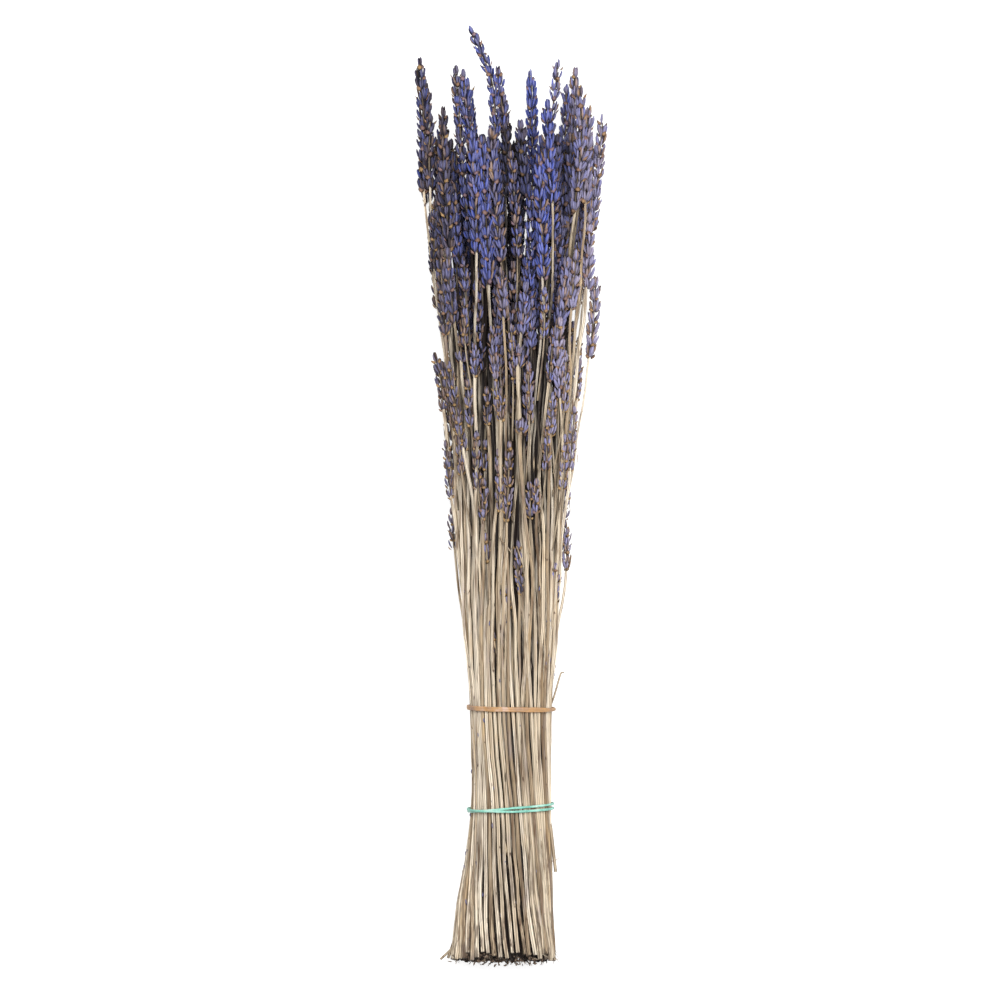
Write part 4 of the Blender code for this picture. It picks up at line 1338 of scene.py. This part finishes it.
def cut_start(z, rng):
    """Where a stem ends: those on top were cut a little higher, so the ones below look out in the shade."""
    _, half_depth, middle, _ = outline(5.0)
    up = (z - middle) / half_depth
    return max(0.6, 3.2 + 3.2 * up + rng.uniform(-2.4, 2.2))


def twist_at(station):
    """The hand that cut the stems turned them a little round each other below the upper band."""
    return np.interp(station, TWIST_STATIONS, TWISTS)


def full_line(spike, line, inset):
    """A stem's line down to the cut end, seated just inside the bands."""
    knots, points = line
    low = [on_outline(s, spike["slot"] - twist_at(s), spike["share"], inset) for s in TIED_STATIONS]
    above = knots > UPPER_BAND_STATION + 1
    above[0] = False
    return np.concatenate((TIED_STATIONS, knots[above])), np.concatenate((low, points[above]))


def wander(points, rng, amount):
    """Slow sideways drift, so that no two stems run quite alike. None at the bands."""
    stations = points[:, 1]
    free = np.min([np.abs(stations - s) for s in BAND_STATIONS], axis=0)
    size = amount * np.clip(free / 30, 0, 1)
    for axis in (0, 2):
        phase, turns = rng.uniform(0, 2 * math.pi), rng.uniform(0.012, 0.03)
        points[:, axis] += size * np.sin(phase + 2 * math.pi * turns * stations)
    return points


def stem_shade(points):
    """How much painted shade a stem gets: the deeper it lies, the darker. In the tied part this takes only a
    few millimetres of depth.
    """
    half_width, half_depth, middle, lean = outline(points[:, 1])
    out = np.hypot((points[:, 0] - lean) / half_width, (points[:, 2] - middle) / half_depth)
    unshaded_depth = np.interp(points[:, 1], (0, 60, 150, 215, 300), (1.7, 1.2, 1.3, 2.5, 5.4))
    dark = np.interp(points[:, 1], (150, 215, 300), (3.2, 4.4, 7.5))
    return np.clip(((1 - out) * half_depth - unshaded_depth) / dark, 0, 1)


def lay_stem(heap, line, start, end, radius, rng, amount, dimmed=0.0):
    """Lays one stem along a line, from its cut end to where its head or the inside of the bunch hides it.

    dimmed says how much painted shade its upper part gets, where other stems and heads lie over it.
    """
    low = np.arange(start + 3, BAND_STATIONS[0], LOW_RING_STEP)
    count = max(4, round((end - BAND_STATIONS[0]) / RING_STEP))
    stations = np.concatenate(((start, start + 0.5), low, np.linspace(BAND_STATIONS[0], end, count)))
    points = wander(smooth(line, stations), rng, amount)
    tone = np.clip(rng.normal(0.74, 0.25), 0.05, 1.0)
    # Painted shade: deeper in the bunch (stem_shade) and under other stems and heads (above). cut makes the
    # last few millimetres at the cut end darker.
    cut = np.where(stations < start + 0.4, 0.6, np.exp(-(stations - start) / 3.0) * 0.25)
    above = dimmed * np.interp(stations, (265, 335), (0, 1))
    shades = np.clip(stem_shade(points) + cut + above, 0, 1)
    face, twist = rng.uniform(0, math.pi), rng.normal(0, 0.6)
    radii = stem_radius(stations, radius, rng)
    add_tube(heap, points, radii, face=face, twist=twist, tone=tone, shade=shades)


rng = np.random.default_rng(STEM_SEED)
own_stems = Heap((straw_finish,), STEM_VALUES)
full_lines = {}
for number, (spike, line) in enumerate(zip(spikes, lines)):
    radius = rng.uniform(0.76, 1.08)
    full_lines[number] = full_line(spike, line, radius + 0.15)
    cut_height = full_lines[number][1][0][1]
    dimmed = 0.0 if spike["shown"] else 0.08
    end = spike["base_station"] + 1.5
    start = cut_start(cut_height, rng)
    lay_stem(own_stems, full_lines[number], start, end, radius, rng, 0.35, dimmed)
own_stems.make("flower_stems", "straw", ("stems",), False)
print("triangles of the heads' own stems:", own_stems.triangles)


SINK_STATION = 230
SINK_RUN = 160
SINK_DEPTH = 5
PARTING_RUN = 75


def line_between(first, second, share, inward, parting, stop):
    """A line between two others, drawn inwards, most at its end. parting sinks it where it was cut."""
    stations = np.concatenate((TIED_STATIONS, np.arange(180.0, stop + 1, 40.0), (stop + 20.0,)))
    mixed = (1 - share) * smooth(first, stations) + share * smooth(second, stations)
    points = []
    for x, station, z in mixed:
        half_width, half_depth, middle, lean = outline(station)
        away = math.hypot(x - lean, z - middle) + 1e-6
        sink = inward + max(0.0, (station - SINK_STATION) / SINK_RUN) * SINK_DEPTH
        sink += max(0.0, (PARTING_RUN - station) / PARTING_RUN) * parting
        shrink = max(0.0, 1 - sink / away)
        points.append((lean + (x - lean) * shrink, middle + (z - middle) * shrink))
    return stations, np.array(points)


ordered = sorted((n for n, s in enumerate(spikes) if s["share"] == 1.0), key=lambda n: spikes[n]["slot"])
more_stems = Heap((straw_finish,), STEM_VALUES)
laid = 0
# Each round lays a stem between every stem of the outer ring and the one so many steps on, so far inwards.
for step, inward in ((1, 0.0), (1, 3.2), (2, 5.0), (3, 7.3)):
    for place_number, first in enumerate(ordered):
        deeper = rng.choice((0.9, 1.5, 2.4)) if inward == 0.0 else rng.uniform(-0.4, 0.6)
        parting = rng.choice((1.2, 3.5, 5.5)) if inward == 0.0 else 2.0
        second = ordered[(place_number + step) % len(ordered)]
        reach = min(spikes[first]["base_station"], spikes[second]["base_station"]) + 25
        stop = max(250.0, reach - rng.uniform(0, 50)) if inward < 2 else rng.uniform(300, 390)
        share = rng.uniform(0.3, 0.7)
        line = line_between(full_lines[first], full_lines[second], share, inward + deeper, parting, stop)
        start = cut_start(line[1][0][1], rng)
        lay_stem(more_stems, line, start, stop, rng.uniform(0.48, 0.8), rng, 0.6, 0.28)
        laid += 1
more_stems.make("packed_stems", "straw", (), False)
print("stems between:", laid, "triangles:", more_stems.triangles)

# %% [markdown]
# ## The packed middle
#
# No light gets between the innermost stems, so single ones wouldn't be seen. One ridged body stands for all
# of them. It has a ridge for each stem, and it stays well inside the others. It is painted almost black, as
# painted shade.

# %% Make the middle
CORE_STATIONS = (9, 30, 60, 86, 115, 141, 165, 190, 215, 240, 265, 290, 315, 340, 360)
CORE_SHARES = (0.84, 0.84, 0.85, 0.86, 0.86, 0.86, 0.84, 0.80, 0.74, 0.68, 0.62, 0.57, 0.52, 0.42, 0.12)
CORE_RIDGES = 44


def ridged_middle(rng):
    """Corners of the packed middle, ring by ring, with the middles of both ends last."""
    turns = 2 * math.pi * np.arange(2 * CORE_RIDGES) / (2 * CORE_RIDGES)
    wobble = rng.normal(0, 0.02, len(turns))
    corners = []
    for station, share in zip(CORE_STATIONS, CORE_SHARES):
        half_width, half_depth, middle, lean = outline(station)
        depth = np.where(np.arange(len(turns)) % 2, 0.0, -1.4) + rng.normal(0, 0.25, len(turns))
        x = lean + (share * (1 + wobble) * half_width + depth) * np.cos(turns - twist_at(station))
        z = middle + (share * (1 + wobble) * half_depth + depth) * np.sin(turns - twist_at(station))
        corners.append(np.stack((x, np.full(len(turns), float(station)), z), axis=1))
    ends = [(outline(CORE_STATIONS[k])[3], CORE_STATIONS[k], outline(CORE_STATIONS[k])[2]) for k in (0, -1)]
    return np.concatenate((*corners, np.array(ends)))


core = Heap((straw_finish,), STEM_VALUES)
core_corners = ridged_middle(np.random.default_rng(SEED))
core_shape = tube_shape(len(CORE_STATIONS), 2 * CORE_RIDGES)
# Painted shade: the middle is painted almost black.
core.add(core_shape, core_corners[None], tone=0.2, ridge=0.3, shade=0.96)
core.make("packed_middle", "straw", (), False)
print("triangles of the middle:", core.triangles)

# %% [markdown]
# ## Two elastic bands
#
# Each band is one ring of rubber, wound twice and crossed once where a turn was twisted over the other. It
# is flat where it presses on the stems and round at its edges, so its section is an oval that is taller
# than it is thick.

# %% Wind the bands
BAND_SIDES = 10
BAND_POINTS_PER_TURN = 90


def ring_shape(rings, sides):
    """The faces of a tube whose last ring joins the first."""
    faces, tile = [], []
    for ring in range(rings):
        low, high = ring * sides, (ring + 1) % rings * sides
        bottom, top = ring / rings, (ring + 1) / rings
        for k in range(sides):
            after = (k + 1) % sides
            left, right = k / sides, (k + 1) / sides
            faces.append((low + k, low + after, high + after, high + k))
            tile.append(((left, bottom), (right, bottom), (right, top), (left, top)))
    return Template([(0, 0, 0)], faces, tile)


def wind_band(name, node, slot, band, finish, half_height, half_depth, closeness, lift_share, rng):
    """A band's piece: an oval section swept along its line, a little uneven in thickness.

    closeness below 1 draws its two turns together into one strip, and lift_share flattens its crossing.
    """
    line = band_line(band, BAND_POINTS_PER_TURN, lift_share)
    other_turn = np.roll(line, BAND_POINTS_PER_TURN, axis=0)
    line = 0.5 * (1 + closeness) * line + 0.5 * (1 - closeness) * other_turn
    rings = len(line)
    way = unit(np.roll(line, -1, axis=0) - np.roll(line, 1, axis=0))
    _, _, middle, lean = outline(band["station"])
    out = line - np.array((lean, band["station"], middle))
    out[:, 1] = 0
    out = unit(out - way * (out * way).sum(axis=1)[:, None])
    side = np.cross(way, out)
    angles = 2 * math.pi * np.arange(BAND_SIDES) / BAND_SIDES
    turn = 2 * math.pi * np.arange(rings) / rings
    uneven = 1 + sum(0.05 * np.sin(rng.integers(3, 40) * turn + rng.uniform(0, 6)) for _ in range(4))
    corners = line[:, None] + out[:, None] * (half_depth * np.cos(angles))[None, :, None]
    corners = corners + side[:, None] * (half_height * np.sin(angles) * uneven[:, None])[..., None]
    heap = Heap((finish,), ())
    heap.add(ring_shape(rings, BAND_SIDES), corners.reshape(1, -1, 3))
    heap.make(name, slot, (node,))
    return heap.triangles


rng = np.random.default_rng(SEED)
for name, band, finish, *section in (
    ("tan", TAN_BAND, tan_rubber, 0.88, 0.5, 0.6, 0.3),
    ("green", GREEN_BAND, green_rubber, 0.68, 0.5, 1.0, 1.0),
):
    made = wind_band(f"{name}_elastic", f"{name}_band", f"{name}_rubber", band, finish, *section, rng)
    print(name, "band, triangles:", made)

# %% [markdown]
# ## Broken stems, leaf scraps and crumbs
#
# Nothing dried is tidy. A hooked thin stem stands off above the upper band, a stub below the lower one, and
# a twig sticks out at the cut ends. Dark shreds of leaves hang between the cut ends, narrow dry leaves lie
# along the stems, and single calyces have fallen into the bunch.

# %% Broken stems, and how scraps are laid
HOOKED_STEM = (
    (20.2, 138.5, 22.4),
    (23.6, 147, 24.2),
    (27.1, 159.4, 25.5),
    (27.9, 160.9, 25.7),
    (29.4, 160.6, 25.9),
)
# (points (x, station, z), radius)
BROKEN_BITS = (
    (HOOKED_STEM, 0.58),
    (((19.8, 84, 25), (21.9, 75, 26), (24.6, 51, 27)), 1.2),
    (((-26, 17, 15), (-32, 8, 11), (-39, 1.5, 9)), 0.95),
    (((-23.5, 40, 12.5), (-27.3, 23.6, 11.5), (-32.0, 10, 10.5), (-34.8, 2.2, 10)), 1.15),
    (((21.8, 56.8, 26), (24.5, 57.2, 27), (26.3, 58.8, 27.4)), 0.24),
    (((-6.5, 236, 53.0), (-4.7, 233, 53.4), (-2.4, 230.5, 53.2), (0.2, 227, 52.6)), 0.45),
    (((3.0, 230.5, 53.0), (4.6, 226, 53.2), (6.2, 221, 52.4)), 0.5),
    (((9.3, 191.5, 47.6), (8.2, 190.6, 48.3), (7.0, 187.3, 48.2), (6.4, 184, 47.4)), 0.45),
)
WHISKERS = 90
SHREDS = 620
CURLS = 80
LEAVES = 150
FALLEN = 150
FALLEN_AT_EDGE = 18
SCRAP_RINGS = 6
BROKEN_RINGS = 12
LITTER_SEED = 300


def scattered(rng, stations, low_share, high_share, low_angle, high_angle):
    """Points of the bunch at the given stations, and the way out of the bunch at each."""
    angles = rng.uniform(low_angle, high_angle, len(stations))
    shares = rng.uniform(low_share, high_share, len(stations))
    points = [(*on_outline(s, a, k), s) for s, a, k in zip(stations, angles, shares)]
    points = np.array([(x, s, z) for x, z, s in points])
    return points, np.stack((np.cos(angles), np.zeros(len(angles)), np.sin(angles)), axis=1)


def add_scraps(heap, shape, slot, points, outward, ways, length, width, rng, **values):
    """Lays copies of a scale or calyx at points, along their ways and facing outward."""
    ways = unit(ways)
    out = unit(outward - ways * (outward * ways).sum(axis=1)[:, None])
    corners = place(shape, points, ways, out, length, width, rng.uniform(-0.3, 0.6, len(points)))
    heap.add(shape, corners, slot, ridge=1.0, along=shape.corners[:, 0][None], **values)


litter = Heap((shred_finish, straw_finish, calyx_finish), HEAD_VALUES)
rng = np.random.default_rng(LITTER_SEED)
for knots, radius in BROKEN_BITS:
    line = np.array(knots, dtype=float)
    at = np.linspace(0, len(line) - 1, BROKEN_RINGS)
    points = np.stack([np.interp(at, np.arange(len(line)), line[:, axis]) for axis in range(3)], axis=1)
    add_tube(litter, points, np.linspace(radius, 0.7 * radius, BROKEN_RINGS), 1, tone=0.5, shade=0.05)
print("broken stems and twigs:", len(BROKEN_BITS))

# %% Shreds, curls and whiskers
points, outward = scattered(rng, rng.uniform(0.8, 8.5, SHREDS), 0.15, 0.98, 0, 2 * math.pi)
ways = rng.normal(0, 1, (SHREDS, 3)) * (0.8, 0.8, 0.6) - np.array((0, 0.4, 0))
spans, widths = rng.uniform(1.2, 4.2, SHREDS), rng.uniform(0.5, 1.7, SHREDS)
add_scraps(litter, BRACT, 0, points, outward + rng.normal(0, 0.6, (SHREDS, 3)), ways, spans, widths, rng)
starts, outward = scattered(rng, rng.uniform(4, 11, CURLS), 0.3, 1.0, 0, 2 * math.pi)
for start, away in zip(starts, outward):
    aim = unit(np.array((rng.normal(0, 0.7), -1.0, rng.normal(0, 0.4))) + 0.3 * away)
    curl = rng.normal(0, 1.2, 3)
    t = np.linspace(0, 1, SCRAP_RINGS)[:, None]
    points = start + aim * t * rng.uniform(3, 9) + curl * t**2
    slot, shade = (0, 0.0) if rng.random() < 0.6 else (1, rng.uniform(0.0, 0.4))
    thin = rng.uniform(0.14, 0.34)
    radius = np.linspace(thin, 0.5 * thin, SCRAP_RINGS)
    add_tube(litter, points, radius, slot, sides=6, tone=rng.uniform(0.2, 0.8), shade=shade)
starts, outward = scattered(rng, rng.uniform(14, 130, WHISKERS), 0.86, 0.94, 0, 2 * math.pi)
for start, away in zip(starts, outward):
    aim = unit(np.array((rng.normal(0, 0.2), rng.choice((-1.0, 1.0)), rng.normal(0, 0.15))))
    curl = rng.normal(0, 0.8, 3) * (0.8, 0.5, 0.3)
    t = np.linspace(0, 1, SCRAP_RINGS)[:, None]
    points = start + aim * t * rng.uniform(3, 10) + curl * t**2
    thin = rng.uniform(0.12, 0.24)
    add_tube(litter, points, np.linspace(thin, 0.5 * thin, SCRAP_RINGS), 0, sides=6)
print("shreds, curls and whiskers:", SHREDS, CURLS, WHISKERS)

# %% Narrow leaves and fallen calyces
stations = np.concatenate((rng.uniform(6, 120, LEAVES // 2), rng.uniform(150, 290, LEAVES - LEAVES // 2)))
points, outward = scattered(rng, stations, 0.88, 0.955, 0, 2 * math.pi)
lengthwise = (rng.normal(0, 0.1, LEAVES), rng.choice((-1.0, 1.0), LEAVES), rng.normal(0, 0.06, LEAVES))
ways = np.stack(lengthwise, axis=1)
spans, widths = rng.uniform(4, 13, LEAVES), rng.uniform(0.7, 1.5, LEAVES)
shades = rng.uniform(0.1, 0.6, LEAVES)[:, None]
tones = rng.uniform(0.0, 0.5, LEAVES)[:, None]
add_scraps(litter, BRACT, 1, points, outward, ways, spans, widths, rng, tone=tones, shade=shades)
inside_stations = rng.uniform(12, 215, FALLEN - FALLEN_AT_EDGE)
stations = np.concatenate((inside_stations, rng.uniform(156, 192, FALLEN_AT_EDGE)))
points, outward = scattered(rng, stations, 0.92, 0.965, 0, 2 * math.pi)
at_edge = slice(-FALLEN_AT_EDGE, None)
points[at_edge], outward[at_edge] = scattered(
    rng, stations[at_edge], 0.97, 1.0, math.radians(2), math.radians(50)
)
lengthwise = (rng.normal(0, 0.2, FALLEN), rng.choice((-1.0, 1.0), FALLEN), rng.normal(0, 0.1, FALLEN))
ways = np.stack(lengthwise, axis=1)
spans, widths = rng.uniform(1.6, 3.8, FALLEN), rng.uniform(0.28, 0.5, FALLEN)
ages = rng.uniform(0.1, 0.8, FALLEN)[:, None]
add_scraps(litter, CALYX, 2, points, outward, ways, spans, widths, rng, freshness=ages, shade=0.3)
litter.make("scraps_and_crumbs", "straw")
print("triangles of scraps:", litter.triangles)

# %% [markdown]
# ## Floor, light and camera
#
# The table is white and matt. One wide soft light hangs above the heads and the white room lights the rest,
# so that shadows stay soft. The gaps between the stems go dark partly by themselves and partly through the
# painted shade on the stems and heads deep in the bunch. The camera hangs three metres up with a long lens,
# so that nothing is drawn larger for being nearer.

# %% Table, lights and camera
CAMERA_HEIGHT = 3.085
LENS = 200.0
# (x, station) at the middle of the picture
VIEW_MIDDLE = (-6.05, 255.75)
TABLE_HALF = 4
TABLE_BELOW = 0.0005

floor_mesh = bpy.data.meshes.new("table")
table_corners = [(TABLE_HALF * x, TABLE_HALF * y, 0) for x, y in ((-1, -1), (1, -1), (1, 1), (-1, 1))]
floor_mesh.from_pydata(table_corners, [], [(0, 1, 2, 3)])
floor = bpy.data.objects.new("table", floor_mesh)
floor.location.z = -TABLE_BELOW
bpy.context.scene.collection.objects.link(floor)
floor_finish = Finish("white_table", {"Base Color": (0.45, 0.45, 0.45, 1), "Roughness": 0.9})
floor_finish.set({"Emission Color": (1, 1, 1, 1), "Emission Strength": 0.75})
floor_mesh.materials.append(floor_finish.material)

world = bpy.data.worlds.new("white_room")
world.use_nodes = True
world.node_tree.nodes["Background"].inputs["Color"].default_value = (1, 1, 1, 1)
world.node_tree.nodes["Background"].inputs["Strength"].default_value = 0.3
bpy.context.scene.world = world


def soft_light(name, place, aim, size, watts):
    """A square light that faces a point."""
    data = bpy.data.lights.new(name, "AREA")
    data.size = size
    data.energy = watts
    lamp = bpy.data.objects.new(name, data)
    lamp.location = place
    towards = np.array(aim) - np.array(place)
    lamp.rotation_euler = (
        math.atan2(math.hypot(towards[0], towards[1]), -towards[2]),
        0,
        math.atan2(towards[0], -towards[1]) + math.pi,
    )
    bpy.context.scene.collection.objects.link(lamp)
    return lamp


soft_light("window", (0.1, 0.35, 1.5), (0, 0.05, 0), 0.8, 33)
soft_light("fill", (0.7, -0.5, 1.3), (0, -0.05, 0), 1.0, 6)

camera_data = bpy.data.cameras.new("camera")
camera_data.lens = LENS
camera = bpy.data.objects.new("camera", camera_data)
middle_x, middle_station = VIEW_MIDDLE
camera.location = ((middle_x + ORIGIN[0]) * MM, (middle_station + ORIGIN[1]) * MM, CAMERA_HEIGHT)
bpy.context.scene.collection.objects.link(camera)
bpy.context.scene.camera = camera
bpy.context.scene.view_settings.view_transform = "Standard"
